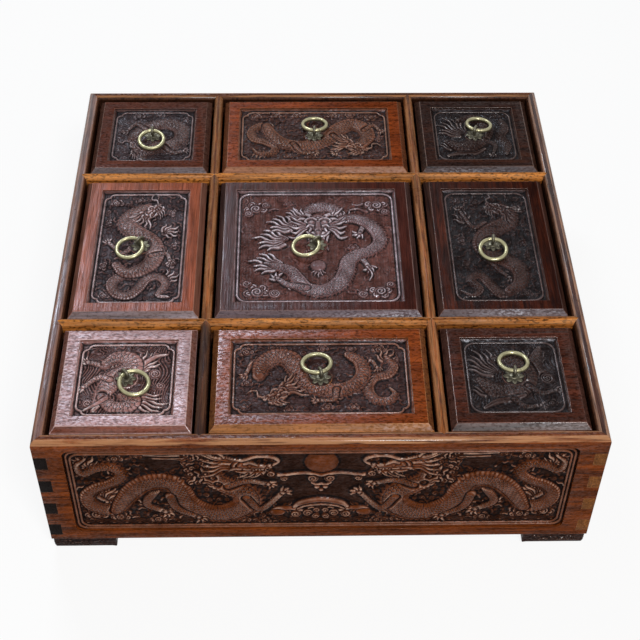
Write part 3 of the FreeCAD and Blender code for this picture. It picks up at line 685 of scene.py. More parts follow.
# What each field shows: its rows from the ground up, in millimetres from the field's middle
LID_PLANS = {
    "front_left": [
        ("flow", 86, 2, 0.9, 2, 3), ("strands", (6, -17), -18, 34, 24, 1.5, 1.5, 6, 0.35),
        ("strands", (8, 9), 50, 75, 17, 1.3, 1.5, 8, 0.3), ("curl", (18, 4), 4.2, 1.1, 0.2),
        ("curl", (22, -6), 3.2, 1.1, 0.2, -1, 1.4), ("curl", (-22, -20), 3.6, 1.2, 0.2, 1, 1.4),
        ("stroke", [(9, 11), (17, 18), (25, 20)], [2.2, 1.6, 0.6], 1.5, 0.4),
        ("leg", [(-6, 12), (-14, 11), (-25, 14)], 2.6, 1.6, 0.4, 4.2),
        ("body", [(-18, -26), (-14, -17), (-11, -8), (-4, 2), (3, 9), (1, 16), (-7, 18), (-14, 13)],
         [1.4, 3.6, 5.8, 7, 7.2, 6.5, 5, 2.6], 1.9, 0.4, 2.3, -1, 3.2),
        ("body", [(-2, -14), (6, -18), (1, -23), (-8, -22), (-14, -15)], [2.2, 5.2, 5.4, 4.6, 3], 1.5, 0.35,
         2.2, 1, 2),
        ("leg", [(-10, -1), (-17, 1), (-26, -7)], 2.4, 1.6, 0.5, 4),
        ("stroke", [(-11, -16), (-17, -21), (-24, -26)], [2, 1.5, 0.6], 1.3, 0.5),
    ],
    "front_middle": [
        ("scrolls", (-56, -31), (56, 31), 5.4, 1.9, 0.7, 21),
        ("clouds", (-47, 22, 4, 1.2, 0.3), (-30, 26, 3, 1.1, 0), (2, 25, 3.4, 1.1, 0.1),
         (20, 24, 3.2, 1.1, 3), (38, 24, 4, 1.3, 0), (48, 14, 3, 1.1, 1.5), (-46, -4, 3.4, 1.1, 0),
         (-20, -26, 3, 1.1, 0), (4, -24, 3.6, 1.2, 0.2), (20, -24, 3.2, 1.2, 0), (-48, -24, 2.8, 1, 0.6)),
        ("strands", (41, 14), 75, 90, 12, 1.1, 1.3, 5),
        ("body", [(42, 17), (47, 9), (43, 2), (34, -1), (30, -9), (34, -18), (42, -19), (46, -14), (43, -9)],
         [1.4, 2.8, 3, 3.2, 3.4, 3, 2.6, 1.8, 0.6], 1.6, 0.35, 1.9, 1, 1.8),
        ("leg", [(24, 8), (32, 14), (36, 8)], 2, 1.5, 0.3, 3.6),
        ("leg", [(-36, 10), (-43, 12), (-47, 3)], 2.2, 1.6, 0.3, 4),
        ("body", [(-39, 2), (-37, 11), (-29, 18), (-19, 16), (-13, 5), (-6, -6), (6, -10), (18, -8), (26, 1),
         (25, 12), (18, 19)], [4, 5.5, 6.4, 6.8, 6.2, 5.4, 5.2, 5, 4.6, 4, 2.6], 1.9, 0.4, 2.2, 1, 2.4),
        ("leg", [(10, -10), (8, -18), (-2, -19)], 2.2, 1.5, 0.5, 4),
        ("side_head", (-25, -13), 9.6, 207, -1, 2, 0.6),
    ],
    "front_right": [
        ("flow", 100, 2, 0.8, 2, 5), ("strands", (-12, 4), 128, 60, 24, 1.5, 1.5, 8, 0.3),
        ("strands", (-18, -14), 115, 60, 14, 1.4, 1.4, 6, 0.3),
        ("strands", (12, 10), 65, 60, 17, 1.2, 1.4, 6, 0.4),
        ("body", [(19, 24), (15, 15), (14, 6), (20, -1)], [1.6, 3.8, 4.6, 3.4], 1.6, 0.35, 2.1, -1, 2.2),
        ("curl", (21, -2), 4.6, 1.4, 0.3, -1),
        ("body", [(-22, -3), (-15, -11), (-5, -13), (4, -9), (9, -1), (7, 9), (-2, 15), (-11, 14)],
         [2.4, 5.6, 7.2, 7.2, 6.2, 5, 4, 2], 1.9, 0.4, 2.3, -1, 2.6),
        ("leg", [(8, -8), (16, -14), (25, -12)], 2.3, 1.5, 0.4, 3.8),
        ("stroke", [(-21, -26), (-13, -21), (-3, -19), (5, -16)], [1.2, 2.4, 2.6, 1.4], 1.4, 0.5, 0.5),
        ("leg", [(-2, -19), (5, -25), (14, -24)], 2.2, 1.4, 0.4, 3.8),
        ("clouds", (21, -22, 3.6, 1.2, 0.2)),
    ],
    "middle_left": [
        ("scrolls", (-31, -57), (31, 57), 4.6, 2, 0.9, 22),
        ("clouds", (-20, 45, 4.2, 1.3, 0), (-4, 48, 3.2, 1.1, 0.2), (20, 34, 3.2, 1.1, 1.4),
         (-24, 24, 3, 1.1, 1.6), (-24, -20, 3.4, 1.2, 1.5), (22, -18, 3.8, 1.2, 1.5), (23, 0, 2.8, 1.1, 1.5),
         (-21, -48, 3.8, 1.2, 0)),
        ("strands", (16, 14), 15, 110, 12, 1.1, 1.4, 6), ("strands", (20, -34), 60, 90, 12, 1.1, 1.3, 5),
        ("body", [(-10, -28), (-17, -36), (-14, -46), (-5, -49), (2, -42), (7, -33), (14, -31), (19, -38),
         (15, -48), (22, -50)], [3.6, 3.6, 3.4, 3.2, 3.2, 3.2, 3, 2.6, 1.8, 0.7], 1.6, 0.35, 1.9, -1, 1.8),
        ("leg", [(-4, 2), (-12, -7), (-22, 3)], 2.3, 1.6, 0.35, 4.2),
        ("body", [(2, 40), (-7, 33), (-11, 23), (-4, 14), (6, 6), (11, -5), (9, -17), (1, -25), (-9, -27),
         (-16, -19)], [3.6, 5.6, 6.4, 6.8, 6.6, 6.2, 5.8, 5.2, 4.2, 2.4], 1.9, 0.4, 2.2, 1, 2.4),
        ("leg", [(8, -10), (18, -8), (21, -15)], 2.2, 1.5, 0.4, 4),
        ("side_head", (5, 34), 9.2, 58, 1, 2, 0.6),
    ],
    "centre": [
        ("scrolls", (-56, -52), (56, 52), 5.6, 2.3, 0.45, 25), ("clouds", (-43, 39, 7, 1.3, 0)),
        ("curl", (-48, 33), 3.4, 1.1), ("curl", (-36, 42), 3.4, 1.1), ("clouds", (43, 41, 7, 1.4, 3.14)),
        ("curl", (49, 35), 3.4, 1.1), ("stroke", [(36, 35), (29, 38), (22, 36)], [1.4, 0.3], 0.9),
        ("clouds", (-41, -45, 7.4, 1.3, 0)), ("curl", (-29, -47), 4.4, 1.2, 0.2, -1),
        ("curl", (-48, -38), 3.4, 1.1), ("clouds", (42, -46, 6.4, 1.4, 3.14)), ("curl", (30, -48), 3.6, 1.1),
        ("curl", (49, -39), 3.2, 1.1), ("clouds", (-20, 44, 3, 0.8, 0), (22, 27, 2.6, 0.8, 0.6)),
        ("strands", (-28, -20), 165, 70, 20, 1.5, 1.6, 7, 0.4),
        ("strands", (-24, 4), 168, 70, 22, 1.6, 1.6, 7, 0.45),
        ("strands", (-18, 18), 150, 60, 20, 1.5, 1.6, 6, 0.45),
        ("strands", (-12, 28), 125, 50, 13, 1.2, 1.5, 5, 0.4),
        ("body", [(-8, 32), (-3, 38), (5, 40), (13, 37), (17, 30)], [2.5, 4.4, 4.8, 4.2, 2.5], 1.6, 0.3, 2,
         -1, 2, False),
        ("strands", (22, 26), 80, 80, 12, 1.3, 1.5, 5),
        ("leg", [(40, 18), (34, 20), (30, 12)], 2.6, 1.7, 0.35, 5, 130),
        ("leg", [(20, -14), (30, -14), (35, -22)], 2.6, 1.6, 0.35, 5.2, 130),
        ("stroke", [(34, -22), (37, -29), (35, -35)], [1.1, 0.3], 1.1, 0.3),
        ("body", [(18, 26), (27, 27), (36, 22), (42, 13), (43, 3), (37, -5), (28, -9), (21, -16), (19, -26),
         (14, -37), (4, -44), (-7, -42), (-13, -33), (-18, -25), (-27, -21), (-36, -18)],
         [3, 4.4, 4.8, 4.8, 4.4, 4, 4.4, 5, 5.4, 5.6, 5.2, 4.8, 4.4, 3.8, 2.8, 0.8], 1.9, 0.35, 2, -1, 2.2),
        ("leg", [(-8, -42), (-20, -39), (-27, -33)], 3, 1.7, 0.4, 5.4, 130),
        ("clouds", (25, -2, 3.4, 1.1, 0)), ("front_head", (1, 22), 11),
        ("strands", (0.5, -25), -90, 150, 7, 0.7, 1, 7, 0.3), ("dome", (0.4, -20.4), 5.4, 2.2, 0.4),
    ],
    "middle_right": [
        ("scrolls", (-31, -57), (31, 57), 4.4, 2, 1, 23),
        ("clouds", (-22, 46, 3.2, 1.2, 0), (-8, 44, 3.6, 1.2, 0.4), (23, 22, 3.2, 1.1, 1.5),
         (-21, 4, 3.6, 1.3, 1.5), (22, 2, 3, 1.1, 1.6), (23, -12, 3, 1.1, 1.5), (18, -48, 3.8, 1.2, 0),
         (-20, -20, 3.4, 1.2, 1.2), (22, -32, 3, 1.1, 1.5)),
        ("strands", (-17, 24), 110, 80, 13, 1.1, 1.4, 5),
        ("body", [(10, -46), (0, -49), (-6, -40), (-12, -31), (-18, -35), (-13, -44), (-18, -50), (-26, -46)],
         [3.4, 3.6, 3.4, 3.2, 3, 2.6, 1.8, 0.7], 1.6, 0.35, 1.9, 1, 1.8),
        ("leg", [(-3, 22), (-12, 18), (-20, 36)], 2.3, 1.6, 0.35, 4.4),
        ("leg", [(-4, -16), (2, -26), (8, -33)], 2.3, 1.5, 0.35, 4.2),
        ("body", [(10, 40), (15, 32), (13, 23), (4, 17), (-5, 9), (-8, -2), (-2, -12), (8, -17), (15, -26),
         (14, -38), (6, -46)], [3, 5, 6.4, 6.8, 6.4, 6, 6, 6.2, 5.6, 4.6, 3.2], 1.9, 0.4, 2.2, -1, 2.4),
        ("side_head", (8, 36), 9, 142, -1, 2, 0.6),
    ],
    "back_left": [
        ("waves", -30, -8, -31, 18, 6.5, 1.1), ("flow", 8, 2.3, 0.7, 1.6, 7),
        ("clouds", (-12, 25, 4, 1.2, 0), (4, 26, 3.2, 1.1, 0), (24, 20, 3, 1.1, 1.6)),
        ("strands", (20, -10), 70, 90, 14, 1.1, 1.4, 6, 0.4),
        ("body", [(-16, -4), (-10, 5), (0, 12), (11, 14), (20, 8), (21, -3), (14, -11), (3, -14), (-6, -20),
         (-8, -28)], [2.8, 4.8, 5.8, 6.2, 6, 5.8, 6, 6, 4.6, 2.8], 1.8, 0.4, 2.2, -1, 2.2),
        ("leg", [(-6, 8), (-14, 14), (-20, 6)], 2.4, 1.5, 0.4, 4),
        ("leg", [(8, -12), (16, -20), (24, -18)], 2.3, 1.5, 0.4, 4),
        ("side_head", (-12, -14), 7.6, 120, 1, 1.9, 0.6),
    ],
    "back_middle": [
        ("scrolls", (-56, -31), (56, 31), 4.8, 1.9, 0.8, 24),
        ("clouds", (-44, 24, 3.6, 1.2, 0), (-29, 25, 3.6, 1.2, 0), (-13, 25, 3.6, 1.2, 0),
         (14, 25, 3.6, 1.2, 0), (28, 25, 3.6, 1.2, 3.14), (44, 22, 4.2, 1.2, 3.14), (-4, -25, 3.4, 1.1, 0),
         (-20, -24, 3, 1.1, 0), (48, -4, 3.2, 1.1, 1.5)),
        ("strands", (-40, -20), 250, 100, 10, 1, 1.3, 6),
        ("body", [(-34, 12), (-42, 12), (-48, 5), (-46, -4), (-37, -8), (-30, -14), (-33, -21), (-42, -21),
         (-46, -16)], [3.4, 3.4, 3.2, 3.2, 3.2, 3, 2.6, 1.8, 0.7], 1.6, 0.35, 1.9, -1, 1.8),
        ("body", [(-36, 12), (-32, 2), (-24, -8), (-12, -12), (0, -10), (10, -3), (18, 8), (28, 14), (38, 9),
         (41, -2), (36, -11)], [3.2, 4.6, 5.4, 5.6, 5.8, 6.2, 6.6, 6.6, 6, 5.2, 4.2], 1.9, 0.4, 2.2, 1, 2.4),
        ("leg", [(-16, -10), (-10, -20), (-1, -21)], 2.3, 1.5, 0.5, 4.2),
        ("leg", [(14, 0), (22, -10), (16, -20)], 2.3, 1.5, 0.5, 4.2),
        ("leg", [(38, 6), (45, 12), (50, 6)], 2.2, 1.5, 0.4, 4),
        ("side_head", (29, -14), 9.4, -22, 1, 2, 0.6),
    ],
    "back_right": [
        ("flow", 96, 2.1, 0.8, 2, 9), ("strands", (-10, 2), 128, 70, 24, 1.5, 1.5, 8, 0.35),
        ("strands", (-18, -16), 110, 60, 14, 1.3, 1.4, 6, 0.3), ("clouds", (18, 24, 3.6, 1.2, 0)),
        ("body", [(22, 18), (24, 8), (20, -2), (24, -12), (22, -22)], [2, 3.2, 3.6, 3.2, 1.6], 1.5, 0.35, 2,
         1, 2),
        ("body", [(-22, -8), (-14, -14), (-4, -13), (4, -5), (9, 5), (8, 15), (-1, 21), (-11, 18)],
         [2.2, 5.2, 6.8, 6.8, 6, 5, 4, 2], 1.9, 0.4, 2.3, -1, 2.6),
        ("leg", [(6, -6), (14, -12), (12, -22)], 2.4, 1.5, 0.4, 4),
        ("stroke", [(-22, -25), (-13, -22), (-2, -22), (6, -17)], [1.2, 2.2, 2.4, 1.2], 1.4, 0.5, 0.5),
        ("clouds", (-6, -27, 3.2, 1.1, 0)),
    ],
}
BOARD_PLAN = [
    ("scrolls", (-157, -40), (-30, 40), 4.6, 2.1, 1, 11), ("scrolls", (-30, -40), (0, -14), 4.2, 1.9, 1, 12),
    ("hush", (-97, 27), 13, 7), ("hush", (-24, -4), 9, 7), ("hush", (-112, -32), 5, 4),
    ("hush", (-37, 10), 7, 4), ("waves", -158, 2, -44, -32, 5.2, 1.3),
    ("clouds", (-126, 33, 4.4, 1.3, 0), (-113, 35, 3.4, 1.1, 0)),
    ("stroke", [(-108, 36), (-92, 35), (-72, 36)], [1.1, 1, 0.3], 1.1),
    ("stroke", [(-103, 32.5), (-88, 32), (-76, 33)], [0.9, 0.8, 0.3], 1),
    ("clouds", (-143, -24, 6.4, 1.6, 0), (-128, -27, 5.2, 1.5, 0), (-151, -12, 3.8, 1.2, 1.2),
     (-104, -30, 4.6, 1.4, 0), (-66, -33, 4.2, 1.3, 0), (-50, -31, 4.6, 1.4, 0), (-36, -33, 3.8, 1.3, 0)),
    ("strands", (-144, 25), 75, 150, 12, 1.4, 1.7, 8), ("strands", (-136, -8), 40, 60, 20, 1.4, 1.5, 7),
    ("leg", [(-134, 8), (-142, -2), (-135, -11)], 2.4, 1.7, 0.3, 4.4),
    ("body", [(-144, 33), (-150, 26), (-147, 18), (-138, 23), (-129, 24), (-124, 17), (-130, 9), (-140, 4),
     (-147, -4), (-146, -14), (-138, -20), (-128, -19)],
     [0.8, 1.8, 2.6, 3, 3.3, 3.5, 3.7, 4, 4.4, 4.8, 5, 5.4], 2, 0.35, 2.3, -1, 2.2),
    ("leg", [(-104, 0), (-110, -14), (-99, -22)], 3.4, 1.9, 0.35, 6, 110),
    ("body", [(-130, -20), (-125, -10), (-118, 1), (-110, 8), (-100, 10.5), (-91, 7), (-87, -2), (-84, -11),
     (-77, -19), (-67, -24), (-56, -22), (-48, -14), (-49, -4), (-57, 2), (-66, 9), (-68, 17)],
     [4, 5.6, 6.6, 7, 7.2, 7.2, 7, 7, 7.4, 8.2, 9, 9, 8.2, 7.2, 6.4, 5.6], 2.2, 0.4, 2.6, 1, 3.4),
    ("leg", [(-95, -6), (-91, -19), (-78, -28)], 3.4, 1.9, 0.45, 6, 110),
    ("leg", [(-47, -8), (-38, -20), (-24, -3)], 3, 1.8, 0.4, 5.6, 110),
    ("leg", [(-58, 4), (-46, 9), (-33, 6)], 2.8, 1.7, 0.4, 5, 110),
    ("scrolls", (-86, 6), (-62, 36), 4.4, 2.3, 1.7, 13),
    ("side_head", (-49, 24), 11.5, -3, 1, 2, 0.6, False, 1.35),
    ("stroke", [(-58, 33), (-49, 30.5), (-40, 34), (-31, 33.5), (-26.5, 29.5), (-30, 25.5)],
     [0.5, 1.2, 1.3, 1.4, 1.3, 0.5], 1.6, 0.5),
    ("stroke", [(-33, 17), (-25, 15), (-17, 16.5), (-9, 17), (0, 14.8)], [1.5, 1.7, 1.3, 1.5, 1.7], 1.5),
    ("curl", (-31, 16), 3, 1.6, 0.2, 1, 1.6), ("curl", (-23, 11.5), 2.8, 1.4, 0.2, -1),
    ("curl", (-5.2, 11.4), 3.6, 1.6, 0.2, 1, 1.7),
    ("stroke", [(-6, 7), (-3, 5), (0, 6)], [0.7, 1.1, 1.1], 1.3),
    ("dome", (-2.6, 2.4), 2, 1.3, 0.2), ("dome", (0, -0.6), 1.8, 1.2, 0.2),
    ("stroke", [(-31, -25), (-27, -20.5), (-19, -19.5), (-12, -22)], [2.4, 2.8, 2.2, 0.8], 1.6, 0.3),
    ("stroke", [(-17, -17.5), (-13, -14), (-6, -11.5), (0, -10.5)], [1.2, 2.4, 2.6, 2.6], 1.9, 0.4),
    ("stroke", [(-15, -20.5), (-9, -17.2), (0, -15.8)], [0.6, 1, 1], 1.2, 0.3),
    ("dome", (-27.5, -24), 3.6, 1.6, 0.5, 1.4), ("curl", (-16, -26), 3.4, 1.6, 0.3, 1, 1.6),
    ("curl", (-8.5, -25), 3.4, 1.6, 0.3, -1, 1.6), ("curl", (-2.6, -22), 2.4, 1.4, 0.3, 1, 1.3),
    ("curl", (-3, -28.5), 2.6, 1.4, 0.3, -1, 1.4),
]
FOOT_PLAN = [
    ("flow", 0, 2.4, 0.35, 0.6, 1, 0),
    ("clouds", (-33, 0.6, 3, 0.9, 0), (-22, -0.4, 3.4, 1, 0), (-10, 0.5, 3, 0.9, 3.14),
     (33, 0.6, 3, 0.9, 3.14), (22, -0.4, 3.4, 1, 3.14), (10, 0.5, 3, 0.9, 0)),
]


# Finishes


def make_grain_group():
    """Rosewood: broad streaks, dark veins, fine pores and slow patches of colour."""
    graph, given, out = new_tree(
        "ShaderNodeTree", "rosewood_grain",
        {"Along": "Vector", "Place": "Vector", "Pale": "Color", "Dark": "Color", "Figure": "Float",
         "Specks": "Float"},
        {"Color": "Color", "Unevenness": "Float", "Height": "Float", "Glint": "Float"},
    )
    along, place, dark, figure = (given[label] for label in ("Along", "Place", "Dark", "Figure"))

    def stretched(factors, *looks):
        return graph.noise(graph.vector("MULTIPLY", along, factors), 1.0, *looks)

    streaks = graph.spread(graph.noise(along, 1.0, 6.0, 0.62, 0.5), 0.36, 0.66)
    veins = graph.math("ABSOLUTE", graph.minus(graph.noise(along, 0.8, 3.0, 0.5, 1.2), 0.5))
    veins = graph.times(graph.spread(veins, 0.0, 0.035, 1.0, 0.0), figure)
    lines = graph.spread(stretched((1.6, 3.6, 3.6), 4.0, 0.6, 0.3), 0.47, 0.62)
    pores = graph.spread(stretched((40, 5.5, 5.5), 2.0), 0.5, 0.64)
    fibres = stretched((2.5, 4, 4), 4.0)
    glint = graph.spread(stretched((55, 6.5, 6.5), 3.0), 0.4, 0.62)
    tone = graph.mix(graph.times(streaks, figure), given["Pale"], dark)
    tone = graph.mix(graph.times(veins, 0.75), tone, dark)
    tone = graph.mix(graph.times(lines, graph.times(figure, 0.85)), tone, dark)
    tone = graph.shaded(tone, graph.spread(graph.noise(place, 22.0, 3.0), 0.3, 0.7, 0.74, 1.16))
    tone = graph.shaded(tone, graph.spread(fibres, 0.3, 0.7, 0.75, 1.18))
    graph.feed_all(out, {
        "Color": graph.shaded(tone, graph.minus(1.0, graph.times(pores, given["Specks"]))),
        "Unevenness": graph.spread(graph.noise(place, 95.0, 4.0), 0.3, 0.7),
        "Height": graph.minus(graph.times(fibres, 0.5), pores),
        "Glint": graph.times(glint, graph.minus(1.0, pores)),
    })
    return graph.tree


def make_carved_group():
    """Carving: the hollows darken with old wax and painted shade, and the crests take a paler tone in
    patches, part rubbed bare and part painted highlight.
    """
    graph, given, out = new_tree(
        "ShaderNodeTree", "carved_depth",
        {"Color": "Color", "Hollow": "Float", "Crest": "Float", "Raised": "Float", "Forms": "Color",
         "Crests": "Color", "Place": "Vector"},
        {"Color": "Color", "Wax": "Float"},
    )
    tone = graph.mix(graph.times(given["Raised"], 0.85), given["Color"], given["Forms"])
    # Darkens the hollows toward near black: old wax and painted shade
    wax_and_shade = graph.spread(given["Hollow"], 0.06, 0.55)
    tone = graph.mix(graph.times(wax_and_shade, 0.92), tone, (0.007, 0.005, 0.005))
    # The pale crest tone, broken in patches: rubbed wood and a painted highlight
    broken = graph.spread(graph.noise(given["Place"], 240.0, 4.0, 0.6), 0.36, 0.6, 0.3, 1.0)
    crest = graph.times(graph.spread(given["Crest"], 0.45, 1.05), broken)
    graph.feed_all(out, {"Color": graph.mix(crest, tone, given["Crests"]), "Wax": wax_and_shade})
    return graph.tree


def make_wear_group():
    """Edges: broken streaks of a paler tone, part stain rubbed through and part painted highlight."""
    graph, given, out = new_tree(
        "ShaderNodeTree", "rubbed_edges",
        {"Color": "Color", "Along": "Vector", "Edge": "Float", "Rubbed": "Color", "Amount": "Float"},
        {"Color": "Color"},
    )
    broken = graph.spread(graph.noise(given["Along"], 3.6, 4.0, 0.6), 0.36, 0.54)
    factor = graph.times(graph.times(broken, given["Edge"]), given["Amount"])
    graph.feed(out["Color"], graph.mix(factor, given["Color"], given["Rubbed"]))
    return graph.tree


def make_scales_group():
    """Scales in rows half a scale apart; Skin holds the way along and across the skin, and its share."""
    graph, given, out = new_tree(
        "ShaderNodeTree", "scales", {"Skin": "Vector"}, {"Seam": "Float", "Tip": "Float", "Height": "Float"}
    )
    parts = graph.node("ShaderNodeSeparateXYZ", {"Vector": given["Skin"]}).outputs
    rows = graph.times(parts["X"], 2.0)
    shift = graph.times(graph.math("FLOORED_MODULO", graph.math("FLOOR", rows), 2.0), 0.5)
    beside = graph.minus(graph.math("FRACT", graph.plus(parts["Y"], shift)), 0.5)
    rim = graph.minus(1.0, graph.times(graph.times(beside, beside), 2.6))
    past = graph.minus(graph.math("FRACT", rows), rim)
    share = graph.spread(parts["Z"], 0.5, 1.0)
    seam = graph.times(graph.spread(graph.math("ABSOLUTE", past), 0.08, 0.4, 1.0, 0.0), share)
    tip = graph.times(graph.spread(past, -0.75, -0.3), graph.spread(past, -0.3, -0.1, 1.0, 0.0))
    tip = graph.times(tip, share)
    graph.feed_all(out, {"Seam": seam, "Tip": tip, "Height": graph.minus(tip, seam)})
    return graph.tree


GROUPS = {
    "grain": make_grain_group(), "carved": make_carved_group(), "wear": make_wear_group(),
    "scales": make_scales_group(),
}
# How much finer the grain is across each axis than along it, in turns of the pattern per metre
GRAIN_SCALES = {"x": (9, 150, 150), "y": (150, 9, 150), "z": (150, 150, 9), "ends": (420, 420, 300)}


def rosewood(name, pale, dark, grain, figure, rough, rubbed_and_highlit=(0.3, 0.11, 0.04), shine=0.1, wear_and_highlight=0.6,
             forms=None, crests=None, gloss=0.1, shaded_below=None, specks=0.4, stain=None, bloom=None):
    """A waxed rosewood finish with its grain along one axis of the box. Its edge tone is part rubbed wear
    and part painted highlight. forms and crests are the tones of a carving's raised parts, the crests' tone
    part rubbed wood and part painted highlight, and gloss their polish; below the shade height the tone
    darkens as painted shade low in the gaps between the lids, specks is how dark the open pores are, stain
    is the place of a darker stretch, and bloom is the middle of a lid whose polish grows toward its front
    left corner."""
    material, graph, shader = new_finish(name)
    place = graph.node("ShaderNodeTexCoord").outputs["Object"]
    along = graph.node("ShaderNodeMapping", {"Vector": place, "Scale": GRAIN_SCALES[grain]}).outputs[0]

    def made(kind, inputs):
        node = graph.node("ShaderNodeGroup", node_tree=GROUPS[kind])
        graph.feed_all(node.inputs, inputs)
        return node.outputs

    wood = made("grain", {
        "Along": along, "Place": place, "Pale": pale, "Dark": dark, "Figure": figure, "Specks": specks,
    })
    crest, edge, raised, hollow = (graph.attribute(label) for label in ("crest", "edge", "raised", "hollow"))
    relief = wood["Height"]
    if forms:
        scales = made("scales", {"Skin": graph.attribute("skin", "Vector")})
        # Scale seams darken as painted shade and old wax; scale tips take the pale crest tone, partly a
        # painted highlight
        hollow = graph.most(hollow, graph.times(scales["Seam"], 0.55))
        crest = graph.most(crest, graph.times(scales["Tip"], 0.75))
        relief = graph.plus(relief, graph.times(scales["Height"], 1.6))
        chisel_marks = graph.noise(place, 430.0, 2.0, 0.5)
        relief = graph.plus(relief, graph.times(chisel_marks, 2.6))
    carved = made("carved", {
        "Color": wood["Color"], "Hollow": hollow, "Crest": crest, "Raised": raised, "Forms": forms or rubbed_and_highlit,
        "Crests": crests or rubbed_and_highlit, "Place": place,
    })
    tone = carved["Color"]
    if forms:
        patina = graph.noise(place, 125.0, 5.0, 0.66)
        tone = graph.shaded(tone, graph.spread(patina, 0.38, 0.62, 0.72, 1.18))
    # Edges take the paler edge tone: rubbed wear and a painted highlight
    edge_tone_inputs = {"Color": tone, "Along": along, "Edge": edge, "Rubbed": rubbed_and_highlit, "Amount": wear_and_highlight}
    tone = made("wear", edge_tone_inputs)["Color"]
    if shaded_below:
        # Painted shade: the tone darkens toward near black low on the piece, down in the gaps between the
        # lids
        height = graph.node("ShaderNodeSeparateXYZ", {"Vector": place}).outputs["Z"]
        tone = graph.mix(graph.spread(height, shaded_below - 0.004, shaded_below, 0.85, 0.0), tone, (0.02, 0.008, 0.004))
    if stain:
        away = graph.vector("DISTANCE", place, stain, "Value")
        away = graph.plus(away, graph.times(wood["Unevenness"], 0.012))
        tone = graph.mix(graph.spread(away, 0.05, 0.075, 0.8, 0.0), tone, (0.02, 0.012, 0.012))
    uneven = graph.spread(wood["Unevenness"], 0.0, 1.0, rough - 0.07, rough + 0.1)
    handled = graph.most(graph.spread(crest, 0.3, 0.9), graph.spread(edge, 0.75, 1.0))
    polish = graph.spread(raised, 0.0, 1.0, shine, gloss)
    polish = graph.times(polish, graph.spread(wood["Glint"], 0.0, 1.0, 0.3, 1.7))
    if forms:
        polish = graph.times(polish, graph.spread(patina, 0.4, 0.64, 0.5, 1.7))
    if bloom:
        toward = graph.vector("SUBTRACT", place, bloom)
        toward = graph.vector("DOT_PRODUCT", toward, (-0.85, -0.12, 0), "Value")
        polish = graph.times(polish, graph.spread(toward, -0.04, 0.08, 0.1, 2.0))
    graph.feed_all(shader, {
        "Base Color": tone,
        "Roughness": graph.plus(uneven, graph.times(carved["Wax"], 0.2)),
        "Normal": graph.bump(relief, 0.6, 0.00016),
        "Coat Weight": graph.times(handled, 0.6),
        "Coat Roughness": 0.18,
        "Specular IOR Level": polish,
        "Specular Tint": (0.82, 0.88, 1.0),
    })
    return material


def brass(name, tone, tarnish, rough):
    """Old brass: rubbed bright, tarnished in patches and in its hollows."""
    material, graph, shader = new_finish(name)
    place = graph.node("ShaderNodeTexCoord").outputs["Object"]
    patches = graph.spread(graph.noise(place, 320.0, 5.0, 0.65), 0.42, 0.68)
    specks = graph.spread(graph.noise(place, 1500.0, 3.0), 0.55, 0.72)
    dull = graph.most(graph.times(patches, 0.5), graph.attribute("hollow"))
    dull = graph.math("MAXIMUM", dull, graph.times(specks, 0.35), clamp=True)
    graph.feed_all(shader, {
        "Base Color": graph.mix(dull, tone, tarnish),
        "Roughness": graph.spread(dull, 0.0, 1.0, rough, rough + 0.28),
        "Metallic": graph.spread(dull, 0.0, 1.0, 0.8, 0.6),
        "Normal": graph.bump(graph.noise(place, 2600.0, 2.0), 0.25, 0.00004),
    })
    return material


# Each lid's wood: pale and dark tones, grain direction, figure, roughness, edge tone and shine of its frame;
# the edge tone is part rubbed wear and part painted highlight
LID_WOODS = {
    # The front left lid's pale tone is lightened and greyed toward pink as a painted sheen on its top
    "front_left": ((0.47, 0.255, 0.245), (0.22, 0.1, 0.09), "x", 0.5, 0.42, (0.46, 0.3, 0.27), 1.0),
    "front_middle": ((0.28, 0.059, 0.012), (0.085, 0.017, 0.004), "x", 0.55, 0.3, (0.55, 0.23, 0.06), 0.4),
    "front_right": ((0.09, 0.021, 0.009), (0.02, 0.007, 0.004), "x", 0.75, 0.3, (0.24, 0.11, 0.08), 0.08),
    "middle_left": ((0.35, 0.088, 0.038), (0.11, 0.026, 0.013), "y", 0.45, 0.34, (0.42, 0.22, 0.15), 0.42),
    "centre": ((0.09, 0.021, 0.013), (0.027, 0.008, 0.006), "y", 0.6, 0.34, (0.24, 0.14, 0.12), 0.24),
    "middle_right": ((0.08, 0.016, 0.006), (0.013, 0.004, 0.003), "y", 0.9, 0.3, (0.2, 0.09, 0.06), 0.06),
    "back_left": ((0.105, 0.025, 0.011), (0.03, 0.008, 0.004), "x", 0.5, 0.34, (0.26, 0.13, 0.09), 0.06),
    "back_middle": ((0.24, 0.048, 0.011), (0.07, 0.013, 0.004), "x", 0.5, 0.3, (0.42, 0.17, 0.06), 0.07),
    "back_right": ((0.045, 0.014, 0.007), (0.012, 0.005, 0.004), "x", 0.8, 0.3, (0.17, 0.08, 0.05), 0.04),
}
